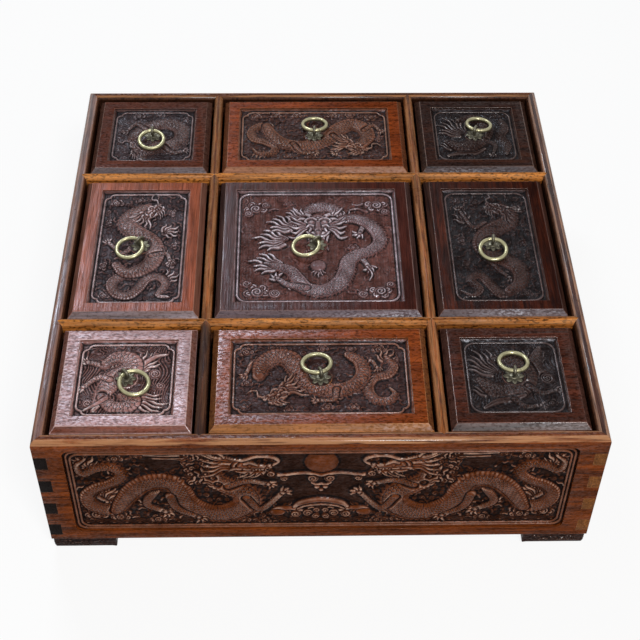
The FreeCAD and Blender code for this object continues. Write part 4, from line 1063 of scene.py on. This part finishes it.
# Each lid's carved field: the tones of its ground, its forms and their crests, and the gloss of the forms;
# the crests' pale tone is part rubbed wood and part painted highlight
LID_FIELDS = {
    "front_left": ((0.15, 0.064, 0.055), (0.31, 0.14, 0.12), (0.6, 0.46, 0.44), 0.55),
    "front_middle": ((0.066, 0.027, 0.023), (0.17, 0.05, 0.022), (0.34, 0.19, 0.14), 0.28),
    "front_right": ((0.022, 0.013, 0.012), (0.042, 0.019, 0.014), (0.13, 0.1, 0.1), 0.15),
    "middle_left": ((0.065, 0.038, 0.042), (0.19, 0.078, 0.06), (0.6, 0.5, 0.53), 0.35),
    "centre": ((0.15, 0.05, 0.038), (0.16, 0.075, 0.075), (0.62, 0.54, 0.6), 0.6),
    "middle_right": ((0.016, 0.01, 0.01), (0.055, 0.019, 0.012), (0.13, 0.1, 0.1), 0.12),
    "back_left": ((0.04, 0.023, 0.025), (0.1, 0.045, 0.035), (0.26, 0.2, 0.21), 0.2),
    "back_middle": ((0.066, 0.024, 0.017), (0.17, 0.06, 0.03), (0.3, 0.18, 0.13), 0.12),
    "back_right": ((0.014, 0.008, 0.007), (0.034, 0.015, 0.011), (0.13, 0.09, 0.08), 0.06),
}
# The tone of each lid's front slope, mostly a painted sheen: greyish lilac on most lids, a bright golden
# on the front and back middle lids; the front left lid's is the wood's own red
LID_FRONT_SHEENS = {
    "front_left": (0.24, 0.065, 0.035), "front_middle": (0.5, 0.2, 0.07), "front_right": (0.2, 0.17, 0.165),
    "middle_left": (0.3, 0.25, 0.28), "centre": (0.16, 0.12, 0.14), "middle_right": (0.17, 0.14, 0.155),
    "back_left": (0.2, 0.175, 0.195), "back_middle": (0.42, 0.2, 0.12), "back_right": (0.11, 0.09, 0.095),
}
# Each rim board: its pale and dark tones, grain direction, the tone of its edges, the shine of its rim;
# the edge tone is part rubbed wear and part painted highlight
BOARD_WOODS = {
    "front": ((0.24, 0.054, 0.009), (0.05, 0.013, 0.004), "x", (0.46, 0.22, 0.1), 0.24),
    "back": ((0.16, 0.045, 0.014), (0.035, 0.01, 0.004), "x", (0.36, 0.16, 0.06), 0.1),
    "left": ((0.15, 0.048, 0.024), (0.045, 0.016, 0.01), "y", (0.26, 0.11, 0.06), 0.95),
    "right": ((0.08, 0.024, 0.01), (0.016, 0.006, 0.004), "y", (0.36, 0.18, 0.1), 0.32),
}


def lid_middle(name):
    low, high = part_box(f"{name}_lid")
    return (low + high) / 2


def deepened(tone, share):
    """A tone made darker and a little greyer."""
    grey = sum(tone) / 3
    return tuple(share * (0.8 * part + 0.2 * grey) for part in tone)


def lid_finishes(name):
    """The finishes of a lid's top, its sides in painted shade, its carving and its front slope with its
    painted sheen.
    """
    pale, _, grain, figure, _, rubbed_and_highlit, _ = LID_WOODS[name]
    ground, forms, crests, gloss = LID_FIELDS[name]
    front = LID_FRONT_SHEENS[name]
    # The front left lid's top tone carries a painted sheen, so its sides start from the wood's own red
    side = (0.5, 0.12, 0.05) if name == "front_left" else pale
    # Side and back slopes take a darker copy of the wood: painted shade
    sides = deepened(side, 0.45), deepened(side, 0.15)
    bloom = tuple(lid_middle(name)) if "middle" in name or name == "centre" else None
    return [
        rosewood(f"{name}_wood", *LID_WOODS[name], specks=0.55, bloom=bloom),
        rosewood(f"{name}_shaded_side_wood", *sides, grain, figure, 0.4, rubbed_and_highlit, 0.06),
        rosewood(f"{name}_carving_wood", ground, deepened(ground, 0.5), grain, 0.5, 0.24, crests, 0.12,
                 forms=forms, crests=crests, gloss=gloss),
        # The front slope's tone, mostly a painted sheen
        rosewood(f"{name}_front_sheen_wood", front, deepened(front, 0.45), "x", 0.7, 0.3, rubbed_and_highlit, 0.1),
    ]


divider_woods = {
    "x": rosewood("divider_wood_x", (0.74, 0.27, 0.052), (0.16, 0.045, 0.011), "x", 0.85, 0.26,
                  (0.72, 0.38, 0.18), 0.05, shaded_below=0.1052, specks=0.8),
    "y": rosewood("divider_wood_y", (0.46, 0.15, 0.045), (0.08, 0.024, 0.009), "y", 0.95, 0.26,
                  (0.6, 0.3, 0.13), 0.1, shaded_below=0.105, specks=0.8, stain=(-0.074, -0.13, 0.11)),
}
board_carving_woods = {
    axis: rosewood(f"board_carving_wood_{axis}", (0.045, 0.015, 0.007), (0.024, 0.008, 0.004), axis, 0.5,
                   0.22, (0.34, 0.2, 0.15), 0.03, forms=(0.14, 0.032, 0.005), crests=(0.42, 0.24, 0.16),
                   gloss=0.08)
    for axis in "xy"
}
# Painted shade: the boards' inward faces, down in the wells beside the lids, take this darker copy of the
# wood
well_wood = rosewood("well_wood", (0.05, 0.017, 0.008), (0.012, 0.006, 0.004), "z", 0.7, 0.4,
                     (0.13, 0.05, 0.025), 0.03)
foot_wood = rosewood("foot_wood", (0.04, 0.015, 0.009), (0.013, 0.006, 0.005), "x", 0.6, 0.4,
                     (0.2, 0.09, 0.05))
inner_wood = rosewood("inner_wood", (0.16, 0.06, 0.028), (0.07, 0.026, 0.014), "x", 0.6, 0.5)
# Wood cut across: close dark pores and short checks
dark_ends, golden_ends = (
    rosewood(f"{label}_end_grain", pale, dark, "ends", 0.5, 0.5, shine=0.05)
    for label, pale, dark in (
        ("dark", (0.012, 0.007, 0.005), (0.005, 0.003, 0.003)),
        ("golden", (0.34, 0.13, 0.035), (0.05, 0.016, 0.006)),
    )
)
ring_brass = brass("ring_brass", (0.36, 0.335, 0.2), (0.13, 0.115, 0.06), 0.28)
plate_brass = brass("plate_brass", (0.13, 0.12, 0.085), (0.035, 0.03, 0.022), 0.36)


# Shapes


def new_piece(name, mesh, body, material=None, replaces=()):
    """Puts a finished mesh in the scene, on its body, and hides the solids that it replaces."""
    piece = add_object(name, mesh)
    if material:
        mesh.materials.clear()
        mesh.materials.append(material)
    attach(piece, body)
    if replaces:
        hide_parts(*replaces)


def set_attribute(mesh, name, values, domain="POINT"):
    """Gives each point or corner of a mesh its value, or its vector; those past the last value get zeros."""
    kind, field = ("FLOAT", "value") if np.ndim(values) == 1 else ("FLOAT_VECTOR", "vector")
    layer = mesh.attributes.new(name, kind, domain)
    full = np.zeros((len(layer.data), *np.shape(values)[1:]), np.float32)
    full[: len(values)] = values
    layer.data.foreach_set(field, full.ravel())


def evaluated_copy(piece):
    """The piece's mesh with its modifiers applied; the piece itself is removed."""
    graph = bpy.context.evaluated_depsgraph_get()
    mesh = bpy.data.meshes.new_from_object(piece.evaluated_get(graph), depsgraph=graph)
    mesh.name = piece.name
    bpy.data.objects.remove(piece)
    return mesh


def face_values(mesh, name, kind, size=1):
    values = np.zeros(len(mesh.polygons) * size, kind)
    mesh.polygons.foreach_get(name, values)
    return values


def eased_copy(node, width, materials, choose=None, press=None, slopes=0.25, facing=None):
    """A copy of a node with its edges eased. choose gives a face's material by its normal and middle,
    press moves the corners of the main forms that a finer carving covers, and slopes is how much paler edge
    tone, part wear and part painted highlight, lies on slopes that face partly along the facing axis."""
    work = bmesh.new()
    work.from_mesh(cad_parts[node].data)
    for vertex in work.verts if press else ():
        press(vertex)
    bmesh.ops.remove_doubles(work, verts=work.verts, dist=WELD_GAP)
    bmesh.ops.dissolve_limit(work, angle_limit=math.radians(0.8), verts=work.verts, edges=work.edges)
    for face in work.faces:
        face.smooth = True
        face.material_index = choose(face.normal, face.calc_center_median()) if choose else 0
    mesh = bpy.data.meshes.new(node)
    work.to_mesh(mesh)
    work.free()
    piece = add_object(f"{node}_work", mesh)
    for material in (*materials, materials[0]):
        mesh.materials.append(material)
    edge_slot = len(materials)
    bevel = piece.modifiers.new("eased", "BEVEL")
    bevel.width = width * MM
    bevel.segments = 2
    bevel.limit_method = "ANGLE"
    bevel.angle_limit = math.radians(28)
    bevel.harden_normals = True
    bevel.material = edge_slot
    mesh = evaluated_copy(piece)
    slots = face_values(mesh, "material_index", np.int32)
    eased = slots == edge_slot
    normals = np.abs(face_values(mesh, "normal", np.float32, 3).reshape(-1, 3))
    slanted = normals.max(axis=1) < 0.97
    if facing is not None:
        slanted &= normals[:, facing] > 0.1
    # The paler edge tone on eased edges and slopes: wear and a painted highlight
    wear_and_highlight = np.where(eased, 1.0, slanted * slopes)
    set_attribute(mesh, "edge", np.repeat(wear_and_highlight, face_values(mesh, "loop_total", np.int32)), "CORNER")
    slots[eased] = 0
    mesh.polygons.foreach_set("material_index", slots)
    mesh.materials.pop(index=edge_slot)
    return mesh


def grid_faces(rows, columns):
    """The faces of a grid of points, counted row by row."""
    corner = (np.arange(rows - 1)[:, None] * columns + np.arange(columns - 1)).ravel()
    return np.stack([corner, corner + 1, corner + columns + 1, corner + columns], axis=1).tolist()


def tube_faces(rows, sides, closed=False):
    """The faces round a tube of rows of points; a closed tube joins its last row to its first."""
    return [
        (row * sides + side, (row + 1) % rows * sides + side, (row + 1) % rows * sides + (side + 1) % sides,
         row * sides + (side + 1) % sides)
        for row in range(rows if closed else rows - 1)
        for side in range(sides)
    ]


def weld(mesh, gap):
    """Joins points that lie together and turns all faces outward."""
    work = bmesh.new()
    work.from_mesh(mesh)
    bmesh.ops.remove_doubles(work, verts=work.verts, dist=gap)
    bmesh.ops.recalc_face_normals(work, faces=work.faces)
    for face in work.faces:
        face.smooth = True
    work.to_mesh(mesh)
    work.free()


def carved_slab(carving, to_box, ground, beads):
    """A closed slab with the carving on its face; to_box turns u, v and height into box places in metres.
    Old wax and painted shade also lie along both sides of the beads."""
    rows, columns = carving.heights.shape
    front = to_box(carving.grid_u.ravel(), carving.grid_v.ravel(), carving.heights.ravel())
    back = to_box(carving.u[[0, -1, -1, 0]], carving.v[[0, 0, -1, -1]], np.full(4, -SLAB_DEPTH))
    count = rows * columns
    edges = [
        list(range(columns))[::-1],
        list(range(columns - 1, count, columns))[::-1],
        list(range(count - columns, count)),
        list(range(0, count, columns)),
    ]
    faces = grid_faces(rows, columns)
    faces += [[count + side, count + (side + 1) % 4] + edge for side, edge in enumerate(edges)]
    faces.append([count + 3, count + 2, count + 1, count])
    mesh = new_mesh("slab", np.vstack([front, back]), faces)
    mesh.polygons.foreach_set("use_smooth", np.arange(len(faces)) < len(faces) - 5)
    hollow, crest = carving.relief_masks(ground)
    # Darkens both sides of each bead: painted shade and old wax
    for outline in beads:
        closed = np.array(outline + outline[:1])
        patch, _, _, nearest, _ = carving.trace(closed, np.full(len(closed), 0.7), 3.0)
        hollow[patch] = np.maximum(hollow[patch], np.exp(-(((nearest - 1.15) / 0.5) ** 2)))
    # The pale crest tone, partly a painted highlight, is kept mostly to the higher forms
    crest *= np.clip((carving.heights - 0.5) / 0.8, 0.25, 1)
    raised = np.clip((carving.heights - 0.35) / 1.1, 0, 1)
    for label, values in (("hollow", hollow), ("crest", crest), ("raised", raised)):
        set_attribute(mesh, label, values.ravel())
    skin = carving.skin.reshape(-1, 3)
    skin[:, 2] = skin[:, 2] > 0
    set_attribute(mesh, "skin", skin)
    return mesh


def ring_circle(name):
    """The middle of a lid's ring and the axis of its circle, turned upward, read from its solid."""
    points = np.array([vertex.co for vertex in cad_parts[f"{name}_ring"].data.vertices], float) / MM
    middle = (points.min(axis=0) + points.max(axis=0)) / 2
    axis = np.linalg.svd(points - middle, full_matrices=False)[2][2]
    return middle, axis * np.sign(axis[2])


def clear_of_ring(name, carving):
    """Cuts the carving back under the ring, on both sides that it can lie on, and round its rosette."""
    middle, axis = ring_circle(name)
    toward = middle[:2] - np.array(lid_middle(name))[:2] / MM
    toward /= np.linalg.norm(toward)
    slope = -(axis[0] * toward[0] + axis[1] * toward[1]) / axis[2]
    flat = 1 / math.hypot(1, slope)
    eye_height = middle[2] - RING_RADIUS * slope / math.hypot(1, slope)
    ahead = np.abs(carving.grid_u * toward[0] + carving.grid_v * toward[1])
    across = carving.grid_u * -toward[1] + carving.grid_v * toward[0]
    distance = np.abs(np.hypot((ahead - RING_RADIUS * flat) / flat, across) - RING_RADIUS)
    reach = RING_WIRE + RING_ROOM
    drop = np.sqrt(np.clip(reach**2 - distance**2, 0, None))
    allowed = np.where(distance < reach, eye_height + slope * ahead - drop - FIELD_FLOOR, 9.0)
    radius = np.hypot(carving.grid_u, carving.grid_v)
    allowed = np.minimum(allowed, 0.72 + np.clip(radius - ROSETTE_CLEAR, 0, None) * 1.6)
    carving.heights = np.minimum(carving.heights, np.maximum(allowed, 0.1))


def notched_outline(half_u, half_v, notch):
    """Points round a frame whose corners step in over two small rounds, anticlockwise."""
    corner = [
        (half_u - across + notch / 2 * math.cos(angle), half_v - along + notch / 2 * math.sin(angle))
        for along, across in ((notch, notch / 2), (notch / 2, notch))
        for angle in np.linspace(0, math.pi / 2, 5)
    ]
    points = []
    for sign_u, sign_v, way in ((1, 1, 1), (-1, 1, -1), (-1, -1, 1), (1, -1, -1)):
        points += [(u * sign_u, v * sign_v) for u, v in corner[::way]]
    return points


def rounded_outline(half_u, half_v, corner):
    """Points round a frame with round corners, anticlockwise."""
    return [
        ((half_u - corner) * sign_u + corner * math.cos(math.radians(turn)),
         (half_v - corner) * sign_v + corner * math.sin(math.radians(turn)))
        for sign_u, sign_v, start in ((1, 1, 0), (-1, 1, 90), (-1, -1, 180), (1, -1, 270))
        for turn in np.linspace(start, start + 90, 7)
    ]


def inside_outline(carving, points):
    """Which grid points lie inside a closed outline."""
    inside = np.zeros(carving.grid_u.shape, bool)
    for (u1, v1), (u2, v2) in zip(points, points[1:] + points[:1]):
        if v1 != v2:
            crosses = (carving.grid_v < v1) != (carving.grid_v < v2)
            at = u1 + (carving.grid_v - v1) * (u2 - u1) / (v2 - v1)
            inside ^= crosses & (carving.grid_u < at)
    return inside


def grown(piece, tree, values):
    """The mesh that a Geometry Nodes tree makes of a piece, with its inputs set by their names."""
    modifier = piece.modifiers.new("made", "NODES")
    modifier.node_group = tree
    for item in tree.interface.items_tree:
        if item.item_type == "SOCKET" and item.in_out == "INPUT" and item.name in values:
            modifier[item.identifier] = values[item.name]
    return evaluated_copy(piece)


def finish_tree(graph, geometry, material, out):
    """Ends a tree with smooth faces in one material."""
    smooth = graph.node("GeometryNodeSetShadeSmooth", {"Geometry": geometry}).outputs[0]
    real = graph.node("GeometryNodeRealizeInstances", {"Geometry": smooth}).outputs[0]
    painted = graph.node("GeometryNodeSetMaterial", {"Geometry": real, "Material": material}).outputs[0]
    graph.feed(out["Geometry"], painted)
    return graph.tree


def make_bead_tree():
    """A half-round bead that follows an outline of edges."""
    graph, given, out = new_tree(
        "GeometryNodeTree", "bead_frame",
        {"Geometry": "Geometry", "Bead Radius": "Float", "Sides": "Int", "Material": "Material"},
        {"Geometry": "Geometry"},
    )
    path = graph.node("GeometryNodeMeshToCurve", {"Mesh": given["Geometry"]}).outputs[0]
    inputs = {"Resolution": given["Sides"], "Radius": given["Bead Radius"]}
    bead = graph.node("GeometryNodeCurvePrimitiveCircle", inputs).outputs[0]
    swept = graph.node("GeometryNodeCurveToMesh", {"Curve": path, "Profile Curve": bead}).outputs[0]
    return finish_tree(graph, swept, given["Material"], out)


def make_rosette_tree():
    """Petals round a circle with a domed boss in the middle."""
    graph, given, out = new_tree(
        "GeometryNodeTree", "rosette",
        {"Geometry": "Geometry", "Petals": "Int", "Petal Circle": "Float", "Boss Radius": "Float",
         "Material": "Material"},
        {"Geometry": "Geometry"},
    )
    inputs = {"Vertices": given["Petals"], "Radius": given["Petal Circle"]}
    circle = graph.node("GeometryNodeMeshCircle", inputs).outputs[0]
    place = graph.node("GeometryNodeInputPosition").outputs[0]
    facing = graph.node("FunctionNodeAlignRotationToVector", {"Vector": place}, axis="X").outputs[0]
    inputs = {"Points": circle, "Instance": given["Geometry"], "Rotation": facing}
    petals = graph.node("GeometryNodeInstanceOnPoints", inputs).outputs[0]
    inputs = {"Segments": 32, "Rings": 12, "Radius": given["Boss Radius"]}
    boss = graph.node("GeometryNodeMeshUVSphere", inputs).outputs[0]
    flat = graph.node("GeometryNodeTransform", {"Geometry": boss, "Scale": (1, 1, 0.36)}).outputs[0]
    both = graph.node("GeometryNodeJoinGeometry").inputs[0]
    graph.feed(both, petals)
    graph.feed(both, flat)
    return finish_tree(graph, both.node.outputs[0], given["Material"], out)


def swept_bead(name, outlines, to_box, radius, material, rubbed_and_highlit):
    """One mesh of beads along closed outlines; the last value is how pale their crests are,
    part rubbed wood and part painted highlight.
    """
    points, edges = [], []
    for outline in outlines:
        first = len(points)
        points += outline
        edges += [(first + index, first + (index + 1) % len(outline)) for index in range(len(outline))]
    points = np.array(points)
    path = new_mesh(name, to_box(points[:, 0], points[:, 1], np.zeros(len(points))), [], edges)
    values = {"Bead Radius": radius * MM, "Sides": 10, "Material": material}
    mesh = grown(add_object(name, path), bead_tree, values)
    set_attribute(mesh, "crest", np.full(len(mesh.vertices), rubbed_and_highlit))
    set_attribute(mesh, "raised", np.ones(len(mesh.vertices)))
    return mesh


def lid_to_box(name, base):
    middle = lid_middle(name) / MM
    return lambda u, v, height: np.stack([middle[0] + u, middle[1] + v, base + height], axis=1) * MM


def board_to_box(turn, depth):
    """u runs along the board to the right as it is faced, v is up, and height comes out of the board."""
    c, s = pointing(math.radians(turn))

    def to_box(u, v, height):
        out = -BOARD_FACE + depth - height
        return np.stack([u * c - out * s, u * s + out * c, BOARD_FIELD_MIDDLE + v], axis=1) * MM

    return to_box


# Pieces


def carve_lid(name):
    """A lid's block, its carved field and the bead round it."""

    def choose(normal, middle):
        if normal.z > 0.9:
            return 2 if middle.z < RIM_FACES else 0
        # Front slopes take the painted sheen; other slopes and walls the painted shade
        return 3 if normal.y < -0.5 and normal.z > 0.5 else 1

    body, woods = f"{name}_cover", lid_finishes(name)
    block = eased_copy(f"{name}_lid", LID_EASE, woods, choose)
    new_piece(f"{name}_lid_block", block, body, replaces=(f"{name}_lid",))
    low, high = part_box(f"{name}_lid")
    wide, deep = ((high[axis] - low[axis]) / MM - 2 * LID_BORDER for axis in (0, 1))
    carving = Carving(wide - FIELD_PLAY, deep - FIELD_PLAY, LID_STEP, 0.78)
    carving.draw(LID_PLANS[name])
    outline_of = rounded_outline if name == "centre" or name.endswith("_right") else notched_outline
    outline = outline_of(wide / 2 - LID_MARGIN, deep / 2 - LID_MARGIN, LID_CORNER)
    inside = inside_outline(carving, outline)
    carving.heights = np.where(inside, np.clip(carving.heights, GROUND_LEVEL, LID_CREST), GROUND_LEVEL)
    clear_of_ring(name, carving)
    from_edge = np.minimum(wide / 2 - np.abs(carving.grid_u), deep / 2 - np.abs(carving.grid_v))
    carving.heights = np.maximum(carving.heights, (COVE - from_edge) * 0.95)
    slab = carved_slab(carving, lid_to_box(name, FIELD_FLOOR), 0.1, [outline])
    new_piece(f"{name}_carving", slab, body, woods[2])
    to_box = lid_to_box(name, FIELD_FLOOR + LID_BEAD_LIFT)
    bead = swept_bead(f"{name}_bead", [outline], to_box, LID_BEAD, woods[2], 0.7)
    new_piece(f"{name}_bead", bead, body)


def carve_board(side, turn):
    """A rim board, its carved field with the two facing dragons, and the double bead round it."""
    across, out_axis = (0, 1) if turn % 180 == 0 else (1, 0)
    sign = 1 if side in ("back", "right") else -1
    pale, dark, grain, edges, shine = BOARD_WOODS[side]
    wide, high = BOARD_FIELD
    floor = (BOARD_FACE - BOARD_FIELD_DEPTH) * MM

    def choose(normal, middle):
        if abs(normal[across]) > 0.9 and abs(middle[across]) > END_FACES:
            return 1
        if normal.z > 0.85 and middle.z > RIM_FACES:
            return 2
        # Inward faces take the darker well wood as painted shade
        return 3 if normal[out_axis] * sign < -0.7 else 0

    def press(vertex):
        """Sets the solid's plain raised forms back to the field's floor, under the carving."""
        u, out, v = vertex.co[across], vertex.co[out_axis] * sign, vertex.co.z - BOARD_FIELD_MIDDLE * MM
        if abs(u) < (wide / 2 - 2) * MM and abs(v) < (high / 2 - 2) * MM and out > floor:
            vertex.co[out_axis] = floor * sign

    woods = [
        rosewood(f"{side}_board_wood", pale, dark, grain, 0.8, 0.26, edges, 0.05, 0.85),
        golden_ends if side == "right" else dark_ends,
        rosewood(f"{side}_rim_wood", pale, dark, grain, 0.8, 0.32, edges, shine, 0.85),
        well_wood,
    ]
    board = eased_copy(f"{side}_board", BOARD_EASE, woods, choose, press, 0.9, out_axis)
    new_piece(f"{side}_board_dressed", board, "box", replaces=(f"{side}_board",))
    carving = Carving(wide - FIELD_PLAY, high - FIELD_PLAY, FRONT_STEP if side == "front" else SIDE_STEP)
    carving.draw(BOARD_PLAN)
    carving.mirror()
    carving.dome(*SUN)
    outlines = [
        rounded_outline(wide / 2 - margin, high / 2 - margin, BOARD_CORNER) for margin in BOARD_MARGINS
    ]
    inside = inside_outline(carving, outlines[1])
    carving.heights = np.where(inside, np.clip(carving.heights, GROUND_LEVEL, BOARD_CREST), 0.5)
    wood = board_carving_woods[grain]
    slab = carved_slab(carving, board_to_box(turn, BOARD_FIELD_DEPTH), 0.2, outlines)
    new_piece(f"{side}_board_carving", slab, "box", wood)
    to_box = board_to_box(turn, BOARD_FIELD_DEPTH - BOARD_BEAD_LIFT)
    bead = swept_bead(f"{side}_board_bead", outlines, to_box, BOARD_BEAD, wood, 0.55)
    new_piece(f"{side}_board_bead", bead, "box")


def petal_mesh():
    """One rosette petal: a small domed leaf, hollowed along its middle, with its root at the inner end."""
    rings, spokes = 5, 14
    points, masks = [], []
    for ring in range(rings + 1):
        reach = ring / rings
        for spoke in range(spokes):
            turn = 2 * math.pi * spoke / spokes
            x, y = math.cos(turn) * reach, math.sin(turn) * reach
            dish = 1 - reach**4
            crease = 0.3 * math.exp(-((y / 0.16) ** 2)) * dish
            points.append((x * 2.45, y * 2.05 * (0.86 - 0.16 * x), 0.2 + 0.62 * dish - crease))
            masks.append(min(1.0, 1.6 * crease + 0.9 * reach**6))
    points += [(x, y, 0.0) for x, y, _ in points[-spokes:]]
    masks += [1.0] * spokes
    faces = tube_faces(rings + 2, spokes)
    faces.append(tuple(range(len(points) - 1, len(points) - spokes - 1, -1)))
    mesh = new_mesh("petal", np.array(points) * MM, faces)
    set_attribute(mesh, "hollow", masks)
    weld(mesh, PETAL_GAP)
    return mesh


def dress_rosette(name):
    """A brass rosette of eight petals on the lid's boss."""
    mesh = grown(add_object(f"{name}_rosette_work", petal_mesh()), rosette_tree, {
        "Petals": 8, "Petal Circle": 4.45 * MM, "Boss Radius": 3.1 * MM, "Material": plate_brass,
    })
    middle = lid_middle(name)
    mesh.transform(Matrix.Translation((middle.x, middle.y, (ROSETTE_SEAT + 0.01) * MM)))
    new_piece(f"{name}_petals", mesh, f"{name}_cover", replaces=(f"{name}_rosette",))


def dress_ring(name):
    """A ring pull bent from brass wire, a little uneven, with the butt of its ends closed in the eye."""
    middle, axis = ring_circle(name)
    toward = np.array(lid_middle(name)) / MM - middle
    toward -= axis * np.dot(toward, axis)
    toward /= np.linalg.norm(toward)
    side = np.cross(axis, toward)
    turns, sides, seam_angle = 120, 20, 0.42
    around = np.linspace(0, 2 * math.pi, turns, endpoint=False)
    about = np.linspace(0, 2 * math.pi, sides, endpoint=False)
    seed = float(np.sum(middle)) % 6.28
    past_seam = np.abs(around - seam_angle)
    seam = np.minimum(past_seam, 2 * math.pi - past_seam) * RING_RADIUS
    groove = np.exp(-((seam / 0.28) ** 2))
    uneven = 0.03 * np.sin(3 * around + seed) + 0.02 * np.sin(7 * around + 2 * seed)
    wire = RING_WIRE - 0.05 + uneven - 0.22 * groove
    reach = wire[:, None] * (1 - 0.03 * np.cos(2 * about))
    spoke = toward[None, :] * np.cos(around)[:, None] + side[None, :] * np.sin(around)[:, None]
    points = (
        middle
        + spoke[:, None, :] * (RING_RADIUS + reach * np.cos(about))[:, :, None]
        + axis[None, None, :] * (reach * np.sin(about))[:, :, None]
    ).reshape(-1, 3)
    mesh = new_mesh(f"{name}_ring_wire", points * MM, tube_faces(turns, sides, closed=True))
    mesh.shade_smooth()
    set_attribute(mesh, "hollow", np.repeat(groove, sides))
    new_piece(f"{name}_ring_wire", mesh, f"{name}_pull", ring_brass, replaces=(f"{name}_ring",))


def carve_foot(corner, turn):
    """A bracket foot with clouds cut into its two outer faces, made at the box's front left and turned."""
    carving = Carving(2 * FOOT_LENGTH, FOOT_HEIGHT, FOOT_STEP)
    carving.draw(FOOT_PLAN)
    carving.heights = np.clip(carving.heights, 0, FOOT_CUT)
    run, fraction = carving.grid_u, carving.grid_v / FOOT_HEIGHT + 0.5
    fade = np.clip((FOOT_LENGTH - np.abs(run)) / 1.5, 0, 1)
    fade *= np.clip(np.minimum(fraction, 1 - fraction) * FOOT_HEIGHT - 0.3, 0, 1)
    past = np.clip(np.abs(run) - (FOOT_LENGTH - FOOT_CURVE), 0, FOOT_CURVE)
    lift = FOOT_CURVE - np.sqrt(FOOT_CURVE**2 - past**2)
    up = lift + fraction * (FOOT_HEIGHT - lift)
    below = np.clip(FOOT_ROUND - up, 0, FOOT_ROUND)
    inset = FOOT_ROUND - np.sqrt(FOOT_ROUND**2 - below**2) + (FOOT_CUT - carving.heights) * fade
    spin = (np.clip(run / FOOT_ROUND, -1, 1) + 1) * math.pi / 4
    out_x, out_y = -np.cos(spin), -np.sin(spin)
    face_x = np.where(run > FOOT_ROUND, run, FOOT_ROUND * (1 + out_x)) - out_x * inset
    face_y = np.where(run < -FOOT_ROUND, -run, FOOT_ROUND * (1 + out_y)) - out_y * inset
    back_x, back_y = np.maximum(run, FOOT_THICKNESS), np.maximum(-run, FOOT_THICKNESS)
    rows, columns = run.shape
    count = rows * columns
    c, s = pointing(math.radians(turn))

    def to_box(x, y):
        x, y = x.ravel() - BOARD_FACE, y.ravel() - BOARD_FACE
        return np.stack([x * c - y * s, x * s + y * c, up.ravel()], axis=1) * MM

    edge = list(range(columns)) + list(range(2 * columns - 1, count, columns))
    edge += list(range(count - 2, count - columns - 1, -1)) + list(range(count - 2 * columns, 0, -columns))
    faces = grid_faces(rows, columns)
    faces += [tuple(count + index for index in face[::-1]) for face in faces]
    faces += [(here, count + here, count + after, after) for here, after in zip(edge, edge[1:] + edge[:1])]
    points = np.vstack([to_box(face_x, face_y), to_box(back_x, back_y)])
    mesh = new_mesh(f"{corner}_foot_carved", points, faces)
    hollow, crest = carving.relief_masks()
    set_attribute(mesh, "hollow", (hollow * fade).ravel())
    set_attribute(mesh, "crest", (crest * fade).ravel())
    weld(mesh, WELD_GAP)
    mesh.set_sharp_from_angle(angle=math.radians(50))
    new_piece(f"{corner}_foot_carved", mesh, "box", foot_wood, (f"{corner}_foot",))


def paint(node, material):
    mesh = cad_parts[node].data
    mesh.materials.clear()
    mesh.materials.append(material)


place_camera()
make_floor()
light_the_room()
bead_tree, rosette_tree = make_bead_tree(), make_rosette_tree()
for side, turn in (("front", 0), ("right", 90), ("back", 180), ("left", 270)):
    carve_board(side, turn)
for side, axis in (("front", "x"), ("back", "x"), ("left", "y"), ("right", "y")):
    divider = eased_copy(f"{side}_divider", DIVIDER_EASE, [divider_woods[axis]], slopes=0.5)
    new_piece(f"{side}_divider_dressed", divider, "box", replaces=(f"{side}_divider",))
for node in ("bottom_panel", "short_lid_cleats", "long_lid_cleats"):
    paint(node, inner_wood)
for corner, turn in (("front_left", 0), ("front_right", 90), ("back_right", 180), ("back_left", 270)):
    carve_foot(corner, turn)
for name in LID_PLANS:
    carve_lid(name)
    dress_rosette(name)
    dress_ring(name)
    paint(f"{name}_pin", plate_brass)
